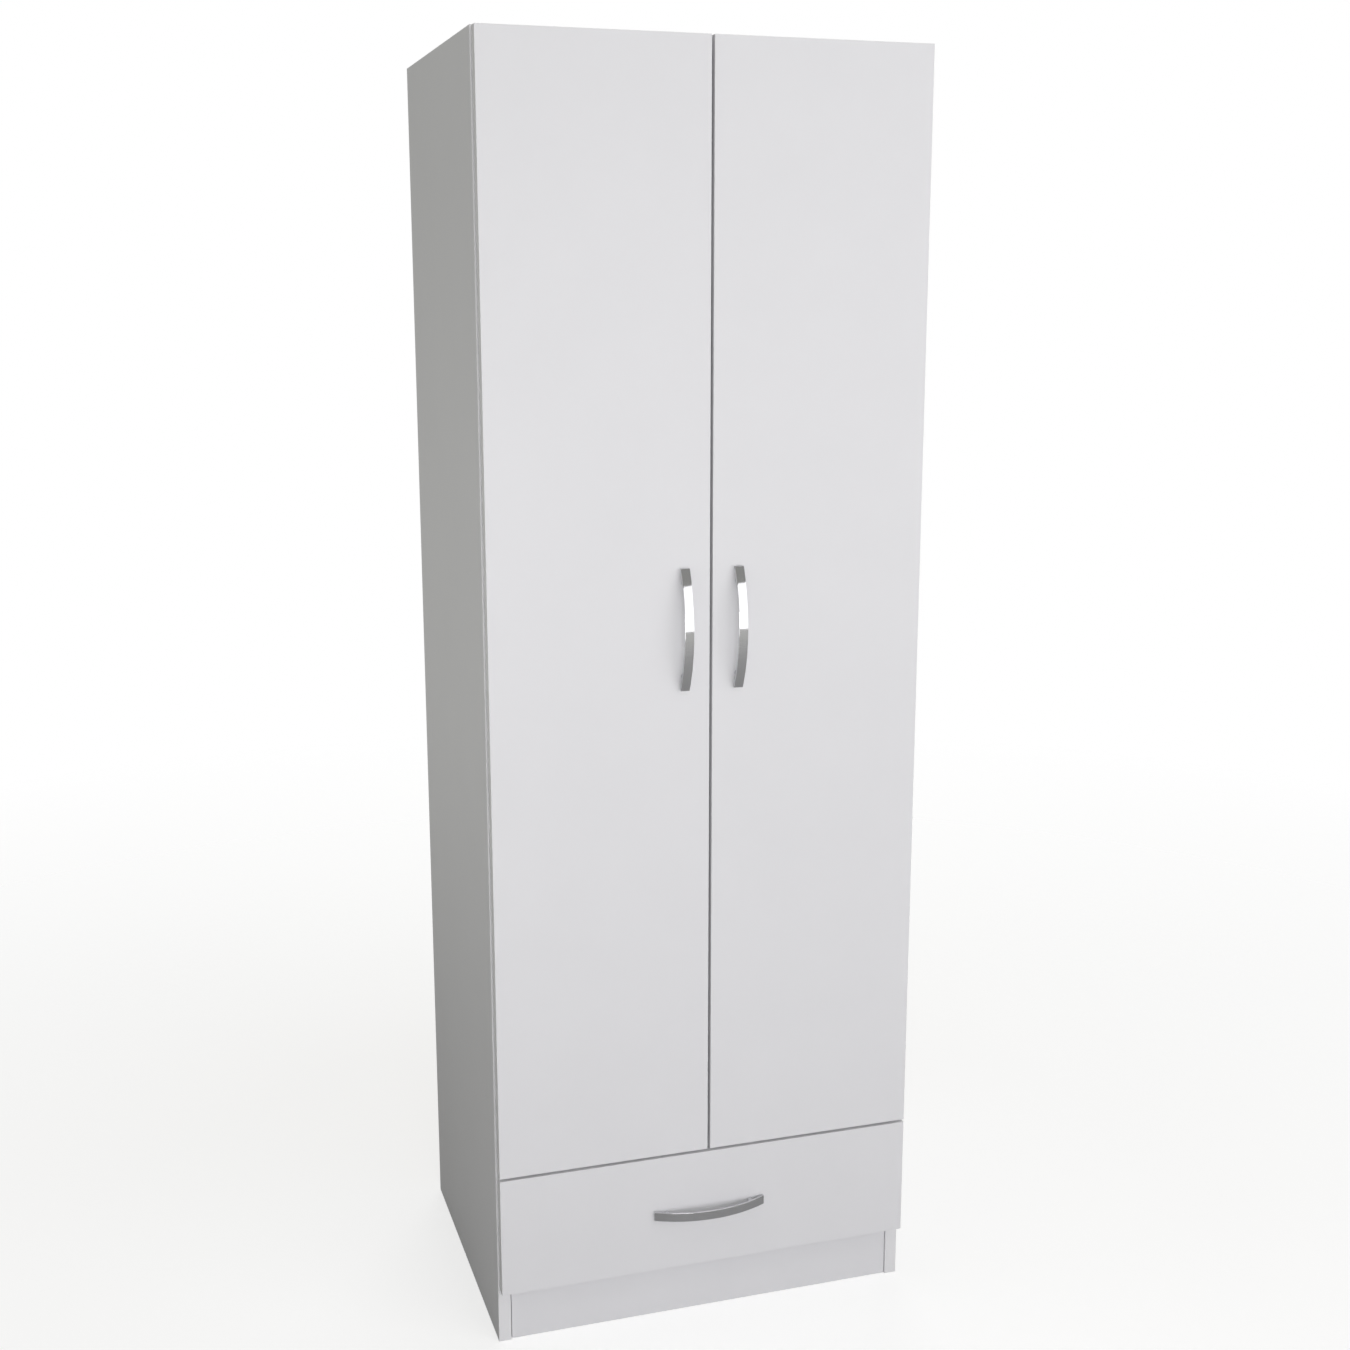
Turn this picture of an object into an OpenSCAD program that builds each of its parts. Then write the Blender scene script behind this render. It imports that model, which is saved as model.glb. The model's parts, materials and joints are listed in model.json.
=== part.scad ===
// Two-door wardrobe with one drawer below the doors.
// X runs across the front, Y from front to back, Z up; the front faces -Y.
// The origin is on the floor, at the middle of the footprint.

/* [Carcass] */
// Height of the side panels
carcass_h = 1800; // [1400:10:2200]
// Width over the two side panels
carcass_w = 622; // [520:2:900]
// Depth of the side panels, without the back sheets
carcass_d = 469; // [440:1:600]
// Thickness of the carcass boards
board_t = 18; // [16:1:22]
// Thickness of the back sheets and of the drawer bottom
sheet_t = 3; // [2.5:0.5:4]
// Height of the plinth board
plinth_h = 82; // [70:1:140]
// Distance from the side panels' front edges back to the plinth board
plinth_setback = 3; // [1:1:40]
// Clear height between the base panel and the divider panel
drawer_space_h = 151; // [145:1:260]
// Clear height between the hat shelf and the top panel
hat_space_h = 282; // [210:2:420]
// Distance from the side panels' front edges back to the hat shelf
shelf_setback = 16; // [5:1:60]
// Gap at each end of the hat shelf
shelf_gap = 0.5; // [0.2:0.1:1.5]
// How far the back sheets stay inside the outline of the carcass
sheet_reveal = 1; // [0:0.5:3]
// Height of each leg of the strip that joins the back sheets
strip_leg = 12; // [8:1:20]
// Thickness of the strip's leg and web
strip_t = 1.2; // [0.8:0.1:2]

/* [Doors and drawer front] */
// Thickness of the doors and the drawer front
front_t = 16; // [15:0.5:19]
// Gap between the fronts' back faces and the carcass
front_back_gap = 3; // [2.7:0.1:4]
// Gap between neighbouring fronts
front_gap = 4; // [2:0.5:5]
// How far the fronts stay inside the carcass sides
side_reveal = 2; // [1:0.5:2.5]
// How far the doors stay below the top of the carcass
top_reveal = 1; // [1:0.5:4]
// Height of the drawer front
drawer_front_h = 176; // [165:1:280]
// Gap between the plinth's top level and the drawer front's lower edge
drawer_front_lift = 1; // [0.5:0.5:4]
// Diameter of the soft bumpers behind the fronts
bumper_d = 6; // [5:0.5:7]
// Gap left between a bumper and the carcass when closed
bumper_gap = 0.3; // [0.2:0.1:1]

/* [Handles] */
// Overall length of a handle
handle_l = 168; // [120:2:220]
// Distance between the two handle screws
handle_pitch = 128; // [64:32:128]
// How far the handle stands off the front
handle_rise = 25; // [22:1:40]
// How far the handle's middle stands out beyond its ends
handle_bow = 20; // [10:1:22]
// Thickness of the handle's strap
handle_t = 3; // [2.5:0.5:5]
// Width of the handle's strap
handle_w = 13; // [9:0.5:20]
// Diameter of the bosses that take the screws
handle_boss_d = 8; // [7:0.5:9]
// Distance from a door's free edge to the handle's middle line
handle_from_edge = 36.5; // [25:0.5:60]

/* [Hinges] */
// Number of hinges on each door
hinge_count = 3; // [2:1:5]
// Distance from a door's ends to its outermost hinges
hinge_inset = 100; // [70:5:200]
// Diameter of the hinge cup
cup_d = 35; // [35:1:40]
// Depth of the hinge cup in the door
cup_depth = 12.5; // [12.2:0.1:13]
// Distance from the door's edge to the cup
cup_from_edge = 3; // [3:0.5:4]
// Distance from the door's edge to the hinge pin
pin_from_edge = 7.5; // [7:0.1:8]
// Depth of the hinge pin behind the door's back face
pin_depth = 9.2; // [9:0.1:9.3]
// Diameter of the hinge pin
pin_d = 2; // [1.6:0.1:2.2]
// Radial clearance of the arm's eye on the pin
pin_clear = 0.05; // [0.02:0.01:0.1]

/* [Hanging rail] */
// Outer diameter of the hanging rail
rail_d = 25; // [19:1:32]
// Wall of the hanging rail
rail_wall = 1.2; // [0.8:0.1:2]
// Distance from the hat shelf down to the rail's middle
rail_drop = 60; // [45:5:90]
// Radial clearance of the rail in its sockets
rail_clear = 0.1; // [0.05:0.05:0.3]
// Wall of the socket round the rail
socket_wall = 3; // [2:0.5:5]
// Thickness of the socket's base
socket_base = 3; // [2:0.5:5]
// Depth of the socket that holds the rail
socket_depth = 14; // [8:1:20]

/* [Drawer] */
// Gap between a drawer side and the carcass, for the runner
runner_space = 12.5; // [12.5:0.5:14]
// Length of the runners
runner_l = 400; // [300:50:400]
// Height of the runner above the base panel
runner_lift = 12; // [8:1:20]
// Depth of the drawer box behind the drawer front
drawer_d = 420; // [410:5:425]
// Height of the drawer box
drawer_box_h = 110; // [100:1:115]
// Thickness of the drawer box boards
drawer_board_t = 15; // [15:1:18]
// Depth of the grooves that hold the drawer bottom
groove_depth = 6; // [4:0.5:7]
// Distance from the drawer box's lower edge to the groove
groove_lift = 8; // [8:0.5:12]
// Clearance of the drawer bottom in its grooves
groove_clear = 0.3; // [0.1:0.1:0.6]
// Diameter of the runner rollers
roller_d = 17.2; // [16:0.2:17.2]
// Width of the runner rollers
roller_w = 7; // [5:0.5:7]
// Diameter of the roller axles
axle_d = 5; // [4:0.5:6]
// Radial clearance of a roller on its axle
axle_clear = 0.05; // [0.02:0.01:0.1]
// Gap between a roller and what it rolls on
roll_gap = 0.05; // [0.02:0.01:0.1]

/* [Fittings] */
// Diameter of the cam locks
cam_d = 15; // [12:0.5:15]
// Distance from a board's end to the middle of a cam lock
cam_inset = 34; // [24:1:34]
// Diameter of the wooden dowels
dowel_d = 8; // [6:1:8]
// Length of the wooden dowels
dowel_l = 30; // [25:1:40]
// Diameter of the screw threads in wood
wood_screw_d = 4; // [3:0.5:4.5]
// Diameter of the shelf support pins
shelf_pin_d = 5; // [4:0.5:6]
// Diameter of the hole for the wall screw in each wall bracket
wall_hole_d = 5; // [4:0.5:7]
// Distance from the cabinet's middle to each wall bracket
wall_bracket_x = 200; // [100:5:220]

/* [Hidden] */
$fn = 64;
cut = 1; // how far a cut runs past the face that it starts from

// Colours
board_colour = "gainsboro";
box_colour = "whitesmoke";
sheet_colour = "tan";
chrome_colour = "silver";
steel_colour = "lightsteelblue";
zinc_colour = "darkgray";
roller_colour = "ivory";
wood_colour = "burlywood";
clear_colour = "lightcyan";

// Levels of the carcass
base_z = plinth_h;
drawer_floor_z = base_z + board_t;
divider_z = drawer_floor_z + drawer_space_h;
top_z = carcass_h - board_t;
shelf_z = top_z - hat_space_h - board_t;
board_zs = [base_z, divider_z, top_z];

// Planes from front to back
inner_w = carcass_w - 2 * board_t;
inner_x = -inner_w / 2; // inner face of the left side panel
depth = handle_rise + front_t + front_back_gap + carcass_d + sheet_t;
back_y = depth / 2;
sheet_y = back_y - sheet_t; // rear edges of the boards
edge_y = sheet_y - carcass_d; // front edges of the boards
front_back_y = edge_y - front_back_gap; // back faces of the fronts
front_y = front_back_y - front_t; // front faces of the fronts

// Fronts
front_w = carcass_w - 2 * side_reveal;
drawer_front_z = base_z + drawer_front_lift;
door_z = drawer_front_z + drawer_front_h + front_gap;
door_h = carcass_h - top_reveal - door_z;
door_w = (front_w - front_gap) / 2;
handle_x = -front_gap / 2 - handle_from_edge;
handle_z = door_z + door_h / 2;
drawer_handle_z = drawer_front_z + drawer_front_h / 2;

// Handle arc through both ends and the highest point; the ends stand clear of the front
arc_r = (pow(handle_l / 2, 2) + pow(handle_bow, 2)) / (2 * handle_bow);
arc_drop = arc_r - handle_rise;
handle_screw_d = 4;
handle_tap_d = 3.3;
handle_tap_l = 9;
handle_screw_bite = 8.5;
handle_hole_d = 5;

// Hinge section: u from the side panel's outer face inwards, v from the carcass front edge outwards
door_v = front_back_gap;
pin_u = side_reveal + pin_from_edge;
pin_v = door_v + pin_depth;
cup_u = side_reveal + cup_from_edge + cup_d / 2;
pin_l = 19;
eye_d = 3.8;
arm_w = 11;
nose_t = 2.5;
nose_v = pin_v - 1;
leg_u = max(pin_u + pin_depth + 1.2, board_t + 1.4);
leg_t = 2.6;
pocket_half = 7;
pocket_u = pin_u - eye_d / 2 - 0.3;
pocket_end_u = 37;
pocket_floor = pin_depth + eye_d / 2 + 0.6;
well_d = 22;
flange_t = 1.2;
flange_d = cup_d + 3;
ear_w = 13;
ear_offset = 6;
ear_screw_z = 24;
cup_screw_d = 2.5;
cup_screw_l = 10;
step_v = -8;
plate_front_v = -18;
plate_end_v = -60;
plate_screw_v = -37;
plate_screw_z = 16;
plate_base_t = 2;
plate_w = 16;
wing_w = 18;
wing_half = 23;
block_t = 7;
block_w = 11;
arm_gap = 0.1;
channel_wall = 1.2;
channel_h = 5;
channel_w = block_w + 2 * (arm_gap + channel_wall);
channel_u = board_t + plate_base_t + block_t;
arm_end_v = -62;
arm_screw_d = 5;
arm_screw_vs = [-26, -48];
hinge_zs = spread(door_z + hinge_inset, door_z + door_h - hinge_inset, hinge_count);

// Cam fittings and dowels
cam_ys = [edge_y + 50, sheet_y - 50];
dowel_ys = [edge_y + 82, sheet_y - 82];
cam_depth = 12.5;
drawer_cam_depth = 12;
bolt_d = 5;
bolt_l = 11.5;
bolt_neck_d = 6;
bolt_head_d = 6.6;
bolt_head_l = 3;
bolt_collar_l = 1.5;
bolt_bore_d = 8;
cam_port_d = 7.4;
dowel_in_side = 10;
plinth_y = edge_y + plinth_setback;
plinth_cam_z = plinth_h / 2;
plinth_dowel_z = plinth_cam_z - 21;

// Back sheets and their pins
sheet_z0 = base_z + sheet_reveal;
sheet_z1 = carcass_h - sheet_reveal;
strip_z = (sheet_z0 + sheet_z1) / 2;
back_pin_d = 1.6;
back_pin_l = 18;
back_pin_head_d = 4;
back_pin_head_t = 0.6;
back_pin_inset = 32;
back_pin_zs = concat(spread(sheet_z0 + back_pin_inset, strip_z - back_pin_inset, 6),
    spread(strip_z + back_pin_inset, sheet_z1 - back_pin_inset, 6));
back_pin_xs = spread(-inner_w / 2 + 93, inner_w / 2 - 93, 4);

// Shelf pins
shelf_pin_ys = [edge_y + 64, sheet_y - 65];
shelf_pin_in = 10;
shelf_pin_out = 7;
shelf_pin_w = 8;
shelf_pin_zs = [for (i = [-2:2]) shelf_z - shelf_pin_d / 2 + 32 * i];

// Rail and sockets
rail_y = (edge_y + sheet_y) / 2;
rail_z = shelf_z - rail_drop;
socket_d = rail_d + 2 * (rail_clear + socket_wall);
socket_base_d = socket_d + 21;
socket_screw_z = socket_d / 2 + 5;
wood_screw_l = 12;
wood_head_d = 8;
wood_head_h = 2;

// Runner section: p from the side panel's inner face inwards, q up from the runner's lower edge
runner_z = drawer_floor_z + runner_lift;
runner_t = 1.2;
runner_flange = runner_space - 1.5;
runner_h = 20;
runner_y = edge_y + 2;
runner_p = runner_space - runner_t; // outer face of the drawer member's web
roller_p = runner_p - 0.8 - roller_w; // outer end of both rollers
front_roller_y = runner_y + 11;
front_roller_q = 12.4;
rail_flange_q = front_roller_q + roller_d / 2 + roll_gap;
rear_roller_q = runner_t + roll_gap + roller_d / 2;
slide_y = front_back_y + 1;
rear_roller_y = slide_y + runner_l - 10;
lip_w = 12;
lip_q = 1;
roller_stop_d = 8;
roller_end_gap = 0.1;
roller_cap_t = 0.3;
runner_screw_ys = [37, runner_l / 2, runner_l - 20];
runner_head_h = 1.5;
runner_head_d = 7;
runner_screw_q = 10;
lip_screw_ys = [30, runner_l / 2, runner_l - 30];
lip_screw_d = 3.5;
lip_screw_p = runner_space + 6.5;
lip_head_d = 6.5;

// Drawer box
box_z = runner_z + lip_q + runner_t;
box_x = inner_x + runner_space; // outer face of the left drawer side
box_inner_x = box_x + drawer_board_t;
box_end_y = front_back_y + drawer_d;
bottom_z = box_z + groove_lift;
drawer_back_z = bottom_z + sheet_t;
drawer_joint_zs = [box_z + 36, box_z + drawer_box_h - 24];
drawer_back_screw_l = 42;
drawer_back_head_h = 2.5;

// Wall brackets
bracket_t = 2;
bracket_w = 20;
bracket_leg = 32;
bracket_hole_drop = 15;
bracket_screw_in = 20;
bracket_screw_d = 3.5;

function spread(a, b, n) = [for (i = [0:n - 1]) a + (b - a) * i / (n - 1)];

// Mirrors what is drawn for the left side when side is 1
module on_side(side) {
    if (side < 0) children();
    else mirror([1, 0, 0]) children();
}

module both_sides() {
    for (side = [-1, 1]) on_side(side) children();
}

// Hinge coordinates of the left side: x = u, y = v, z = 0 at the hinge's middle
module at_hinge(z) {
    translate([-carcass_w / 2, edge_y, z]) mirror([0, 1, 0]) children();
}

// Runner coordinates of the left side: x = p, y as it is, z = q
module at_runner() {
    translate([inner_x, 0, runner_z]) children();
}

// A hole that is drilled from x = 0 towards -X
module bore_left(d, l) {
    translate([cut, 0, 0]) rotate([0, -90, 0]) cylinder(d = d, h = l + cut);
}

// Pan-head screw along Z: the head stands on z = 0 and the thread goes down
module screw(d, l, head_d, head_h) {
    difference() {
        union() {
            cylinder(d = head_d, h = head_h);
            translate([0, 0, -l]) cylinder(d = d, h = l);
        }
        for (a = [0, 90]) rotate([0, 0, a])
            translate([-head_d * 0.3, -head_d * 0.06, head_h * 0.4])
                cube([head_d * 0.6, head_d * 0.12, head_h]);
    }
}

// Screw into the left side panel from inside the cabinet
module screw_left(d, l, head_d, head_h) {
    rotate([0, 90, 0]) screw(d, l, head_d, head_h);
}

// Cam lock: its face is at z = 0, its port opens towards -X
module cam_lock(d_depth, axis_depth) {
    difference() {
        translate([0, 0, -d_depth]) cylinder(d = cam_d, h = d_depth);
        translate([2, 0, -axis_depth]) rotate([0, -90, 0]) cylinder(d = cam_port_d, h = cam_d);
        for (a = [0, 90]) rotate([0, 0, a])
            translate([-cam_d * 0.3, -cam_d * 0.06, -2]) cube([cam_d * 0.6, cam_d * 0.12, 3]);
    }
}

module cam_pocket(d_depth) {
    translate([0, 0, -d_depth]) cylinder(d = cam_d, h = d_depth + cut);
}

// Cam bolt along X: the thread is at x < 0 and the head sits in the cam lock
module cam_bolt() {
    rotate([0, 90, 0]) {
        translate([0, 0, -bolt_l]) cylinder(d = bolt_d, h = bolt_l + bolt_collar_l);
        cylinder(d = bolt_bore_d, h = bolt_collar_l);
        cylinder(d = bolt_neck_d - 1, h = cam_inset - 1);
        cylinder(d = bolt_neck_d, h = cam_inset - cam_d / 2 - 2);
        translate([0, 0, cam_inset - 1 - bolt_head_l]) cylinder(d = bolt_head_d, h = bolt_head_l);
    }
}

// Places for the cam fittings of the three fixed boards, at the left end
module at_board_cams() {
    for (z = board_zs, y = cam_ys) translate([inner_x, y, z + board_t / 2]) children();
}

module at_board_dowels() {
    for (z = board_zs, y = dowel_ys) translate([inner_x, y, z + board_t / 2]) children();
}

module at_plinth_cam() {
    translate([inner_x, plinth_y + board_t / 2, plinth_cam_z]) children();
}

module at_plinth_dowel() {
    translate([inner_x, plinth_y + board_t / 2, plinth_dowel_z]) children();
}

// Places for the pins along the rear edges of the side panels and of the fixed boards
module at_side_pins() {
    for (z = back_pin_zs) translate([inner_x - board_t / 2, back_y, z]) children();
}

module at_board_pins(z) {
    for (x = back_pin_xs) translate([x, back_y, z + board_t / 2]) children();
}

module all_pins() {
    both_sides() at_side_pins() children();
    for (z = board_zs) at_board_pins(z) children();
}

// One sheet pin, its head flush with y = 0 and its point towards -Y
module back_pin(grow) {
    rotate([90, 0, 0]) {
        cylinder(d = back_pin_d, h = back_pin_l);
        translate([0, 0, -grow]) cylinder(d = back_pin_head_d, h = back_pin_head_t + grow);
    }
}

module at_sockets() {
    translate([inner_x, rail_y, rail_z]) children();
}

module at_hinges() {
    for (z = hinge_zs) at_hinge(z) children();
}

// ---- Carcass ----

module side_board() {
    color(board_colour) difference() {
        translate([-carcass_w / 2, edge_y, 0]) cube([board_t, carcass_d, carcass_h]);
        at_board_cams() bore_left(bolt_d, bolt_l);
        at_board_dowels() bore_left(dowel_d, dowel_in_side);
        at_plinth_cam() bore_left(bolt_d, bolt_l);
        at_plinth_dowel() bore_left(dowel_d, dowel_in_side);
        for (y = shelf_pin_ys, z = shelf_pin_zs)
            translate([inner_x, y, z]) bore_left(shelf_pin_d, shelf_pin_in);
        at_sockets() for (s = [-1, 1])
            translate([0, 0, s * socket_screw_z]) bore_left(wood_screw_d, wood_screw_l - socket_base);
        for (z = hinge_zs, s = [-1, 1])
            translate([inner_x, edge_y - plate_screw_v, z + s * plate_screw_z])
                bore_left(wood_screw_d, wood_screw_l);
        for (y = runner_screw_ys)
            translate([inner_x, runner_y + y, runner_z + runner_screw_q])
                bore_left(wood_screw_d, wood_screw_l);
        at_side_pins() back_pin(0);
    }
}

module side_panel_left() { on_side(-1) side_board(); }
module side_panel_right() { on_side(1) side_board(); }

// A fixed board between the sides; its cam locks are set in from above or from below
module fixed_board(z, from_above) {
    face = from_above ? 1 : -1;
    color(board_colour) difference() {
        translate([inner_x, edge_y, z]) cube([inner_w, carcass_d, board_t]);
        both_sides() {
            for (y = cam_ys) translate([inner_x, y, z + board_t / 2]) {
                translate([cam_inset, 0, face * board_t / 2])
                    rotate([from_above ? 0 : 180, 0, 0]) cam_pocket(cam_depth);
                translate([cam_inset, 0, 0]) bore_left(bolt_bore_d, cam_inset + cut);
            }
            for (y = dowel_ys) translate([inner_x + dowel_l - dowel_in_side, y, z + board_t / 2])
                rotate([0, -90, 0]) cylinder(d = dowel_d, h = dowel_l);
        }
        at_board_pins(z) back_pin(0);
    }
}

module top_panel() {
    color(board_colour) difference() {
        fixed_board(top_z, true);
        both_sides() translate([-wall_bracket_x, sheet_y - bracket_t - bracket_screw_in, top_z - cut])
            cylinder(d = bracket_screw_d, h = wood_screw_l + cut - bracket_t);
    }
}

module divider_panel() { fixed_board(divider_z, false); }
module base_panel() { fixed_board(base_z, false); }

module plinth_board() {
    color(board_colour) difference() {
        translate([inner_x, plinth_y, 0]) cube([inner_w, board_t, plinth_h]);
        both_sides() {
            at_plinth_cam() {
                translate([cam_inset, board_t / 2, 0]) rotate([-90, 0, 0]) cam_pocket(cam_depth);
                translate([cam_inset, 0, 0]) bore_left(bolt_bore_d, cam_inset + cut);
            }
            at_plinth_dowel() translate([dowel_l - dowel_in_side, 0, 0])
                rotate([0, -90, 0]) cylinder(d = dowel_d, h = dowel_l);
        }
    }
}

module hat_shelf() {
    color(board_colour) translate([inner_x + shelf_gap, edge_y + shelf_setback, shelf_z])
        cube([inner_w - 2 * shelf_gap, carcass_d - shelf_setback - strip_t - shelf_gap, board_t]);
}

// A back sheet between two heights, drilled for its pins and for the wall screws
module back_sheet(z0, z1) {
    color(sheet_colour) difference() {
        translate([-carcass_w / 2 + sheet_reveal, sheet_y, z0])
            cube([carcass_w - 2 * sheet_reveal, sheet_t, z1 - z0]);
        all_pins() back_pin(cut);
        both_sides() at_wall_hole() cylinder(d = wall_hole_d, h = sheet_t + 2 * cut);
    }
}

module at_wall_hole() {
    translate([-wall_bracket_x, back_y + cut, top_z - bracket_hole_drop]) rotate([90, 0, 0]) children();
}

module back_panel_upper() { back_sheet(strip_z + strip_t / 2, sheet_z1); }
module back_panel_lower() { back_sheet(sheet_z0, strip_z - strip_t / 2); }

module back_joining_strip() {
    strip_x = inner_x + shelf_gap;
    strip_w = inner_w - 2 * shelf_gap;
    color(box_colour) {
        translate([strip_x, sheet_y - strip_t, strip_z - strip_leg])
            cube([strip_w, strip_t, 2 * strip_leg]);
        translate([strip_x, sheet_y - strip_t, strip_z - strip_t / 2])
            cube([strip_w, strip_t + sheet_t, strip_t]);
    }
}

module back_panel_pins() { color(zinc_colour) all_pins() back_pin(0); }

// ---- Fittings of the carcass ----

module cam_locks() {
    color(zinc_colour) both_sides() {
        for (z = board_zs, y = cam_ys) {
            from_above = z == top_z;
            translate([inner_x + cam_inset, y, from_above ? z + board_t : z])
                rotate([from_above ? 0 : 180, 0, 0]) cam_lock(cam_depth, board_t / 2);
        }
        at_plinth_cam() translate([cam_inset, board_t / 2, 0])
            rotate([-90, 0, 0]) cam_lock(cam_depth, board_t / 2);
    }
}

module cam_bolts() {
    color(steel_colour) both_sides() {
        at_board_cams() cam_bolt();
        at_plinth_cam() cam_bolt();
    }
}

module wooden_dowels() {
    color(wood_colour) both_sides() {
        at_board_dowels() dowel();
        at_plinth_dowel() dowel();
    }
}

module dowel() {
    translate([-dowel_in_side, 0, 0]) rotate([0, 90, 0]) cylinder(d = dowel_d, h = dowel_l);
}

module shelf_support_pins() {
    color(chrome_colour) both_sides() for (y = shelf_pin_ys)
        translate([inner_x, y, shelf_z - shelf_pin_d / 2]) {
            translate([-shelf_pin_in, 0, 0]) rotate([0, 90, 0]) cylinder(d = shelf_pin_d, h = shelf_pin_in);
            translate([0, -shelf_pin_w / 2, -shelf_pin_d / 2])
                cube([shelf_pin_out, shelf_pin_w, shelf_pin_d]);
        }
}

// ---- Hanging rail ----

module hanging_rail() {
    rail_l = inner_w - 2 * socket_base;
    color(chrome_colour) translate([-rail_l / 2, rail_y, rail_z]) rotate([0, 90, 0]) difference() {
        cylinder(d = rail_d, h = rail_l);
        translate([0, 0, -cut]) cylinder(d = rail_d - 2 * rail_wall, h = rail_l + 2 * cut);
    }
}

module rail_socket() {
    color(chrome_colour) at_sockets() difference() {
        rotate([0, 90, 0]) {
            cylinder(d = socket_base_d, h = socket_base);
            cylinder(d = socket_d, h = socket_depth);
        }
        translate([socket_base, 0, 0]) rotate([0, 90, 0])
            cylinder(d = rail_d + 2 * rail_clear, h = socket_depth);
        for (s = [-1, 1]) translate([socket_base, 0, s * socket_screw_z])
            bore_left(wood_screw_d, socket_base + cut);
    }
}

module rail_socket_left() { on_side(-1) rail_socket(); }
module rail_socket_right() { on_side(1) rail_socket(); }

module rail_socket_screws() {
    color(steel_colour) both_sides() at_sockets() for (s = [-1, 1])
        translate([socket_base, 0, s * socket_screw_z])
            screw_left(wood_screw_d, wood_screw_l, wood_head_d, wood_head_h);
}

// ---- Hinges ----

module hinge_mounting_plate() {
    difference() {
        union() {
            translate([board_t, plate_end_v, -plate_w / 2])
                cube([plate_base_t, plate_front_v - plate_end_v, plate_w]);
            translate([board_t, plate_screw_v - wing_w / 2, -wing_half])
                cube([plate_base_t, wing_w, 2 * wing_half]);
            translate([board_t, plate_end_v, -block_w / 2])
                cube([plate_base_t + block_t, plate_front_v - plate_end_v, block_w]);
        }
        for (s = [-1, 1]) translate([board_t + plate_base_t, plate_screw_v, s * plate_screw_z])
            bore_left(wood_screw_d, plate_base_t + cut);
        for (v = arm_screw_vs) translate([channel_u, v, 0]) bore_left(arm_screw_d, block_t - 1);
    }
}

module hinge_mounting_plates() {
    color(steel_colour) both_sides() at_hinges() hinge_mounting_plate();
}

module hinge_plate_screws() {
    color(steel_colour) both_sides() at_hinges() for (s = [-1, 1])
        translate([board_t + plate_base_t, plate_screw_v, s * plate_screw_z])
            screw_left(wood_screw_d, wood_screw_l + plate_base_t, wood_head_d, wood_head_h);
}

// Section of the arm from the eye round to its channel
module arm_outline() {
    difference() {
        union() {
            translate([pin_u, pin_v]) circle(d = eye_d);
            translate([pin_u, nose_v]) square([leg_u + leg_t - pin_u, nose_t]);
            translate([leg_u, step_v - leg_t]) square([leg_t, nose_v + nose_t - step_v + leg_t]);
            translate([leg_u, step_v - leg_t]) square([channel_u + leg_t - leg_u, leg_t]);
        }
        translate([pin_u, pin_v]) circle(d = pin_d + 2 * pin_clear);
    }
}

module hinge_arm() {
    difference() {
        union() {
            translate([0, 0, -arm_w / 2]) linear_extrude(arm_w) arm_outline();
            translate([channel_u, arm_end_v, -channel_w / 2])
                cube([leg_t, step_v - arm_end_v, channel_w]);
            for (s = [0, 1])
                translate([channel_u - channel_h, arm_end_v,
                    s == 0 ? -channel_w / 2 : channel_w / 2 - channel_wall])
                    cube([channel_h + leg_t, step_v - leg_t - arm_end_v, channel_wall]);
        }
        for (v = arm_screw_vs) translate([channel_u + leg_t, v, 0])
            bore_left(arm_screw_d, leg_t + cut);
    }
}

module hinge_arms() { color(chrome_colour) both_sides() at_hinges() hinge_arm(); }

module hinge_arm_screws() {
    color(steel_colour) both_sides() at_hinges() for (v = arm_screw_vs)
        translate([channel_u + leg_t, v, 0]) screw_left(arm_screw_d, leg_t + 5, 9, wood_head_h);
}

// The cup's body, its flange with two ears, the pocket for the arm and the pin's holes
module hinge_cup() {
    difference() {
        union() {
            translate([cup_u, door_v, 0]) rotate([-90, 0, 0]) cylinder(d = cup_d, h = cup_depth);
            translate([cup_u, door_v - flange_t, 0]) rotate([-90, 0, 0]) linear_extrude(flange_t) {
                circle(d = flange_d);
                translate([ear_offset - ear_w / 2, -ear_screw_z]) square([ear_w, 2 * ear_screw_z]);
                for (s = [-1, 1]) translate([ear_offset, s * ear_screw_z]) circle(d = ear_w);
            }
        }
        translate([pocket_u, door_v - flange_t - cut, -pocket_half])
            cube([pocket_end_u - pocket_u, pocket_floor + flange_t + cut, 2 * pocket_half]);
        translate([0, door_v - flange_t - cut, -pocket_half])
            cube([cup_u, flange_t + cut, 2 * pocket_half]);
        translate([cup_u + 2, door_v - flange_t - cut, 0]) rotate([-90, 0, 0])
            cylinder(d = well_d, h = pocket_floor + flange_t + cut);
        translate([pin_u, pin_v, -pin_l / 2]) cylinder(d = pin_d, h = pin_l);
        for (s = [-1, 1]) translate([cup_u + ear_offset, door_v - flange_t - cut, s * ear_screw_z])
            rotate([-90, 0, 0]) cylinder(d = cup_screw_d, h = flange_t + 2 * cut);
    }
}

module hinge_cups() { color(chrome_colour) at_hinges() hinge_cup(); }
module hinge_cups_left() { on_side(-1) hinge_cups(); }
module hinge_cups_right() { on_side(1) hinge_cups(); }

module hinge_pins() {
    color(steel_colour) at_hinges() translate([pin_u, pin_v, -pin_l / 2]) cylinder(d = pin_d, h = pin_l);
}

module hinge_pins_left() { on_side(-1) hinge_pins(); }
module hinge_pins_right() { on_side(1) hinge_pins(); }

module hinge_cup_screws() {
    color(steel_colour) at_hinges() for (s = [-1, 1])
        translate([cup_u + ear_offset, door_v - flange_t, s * ear_screw_z])
            rotate([90, 0, 0]) screw(cup_screw_d, cup_screw_l, 6.5, 1.4);
}

module hinge_cup_screws_left() { on_side(-1) hinge_cup_screws(); }
module hinge_cup_screws_right() { on_side(1) hinge_cup_screws(); }

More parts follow.
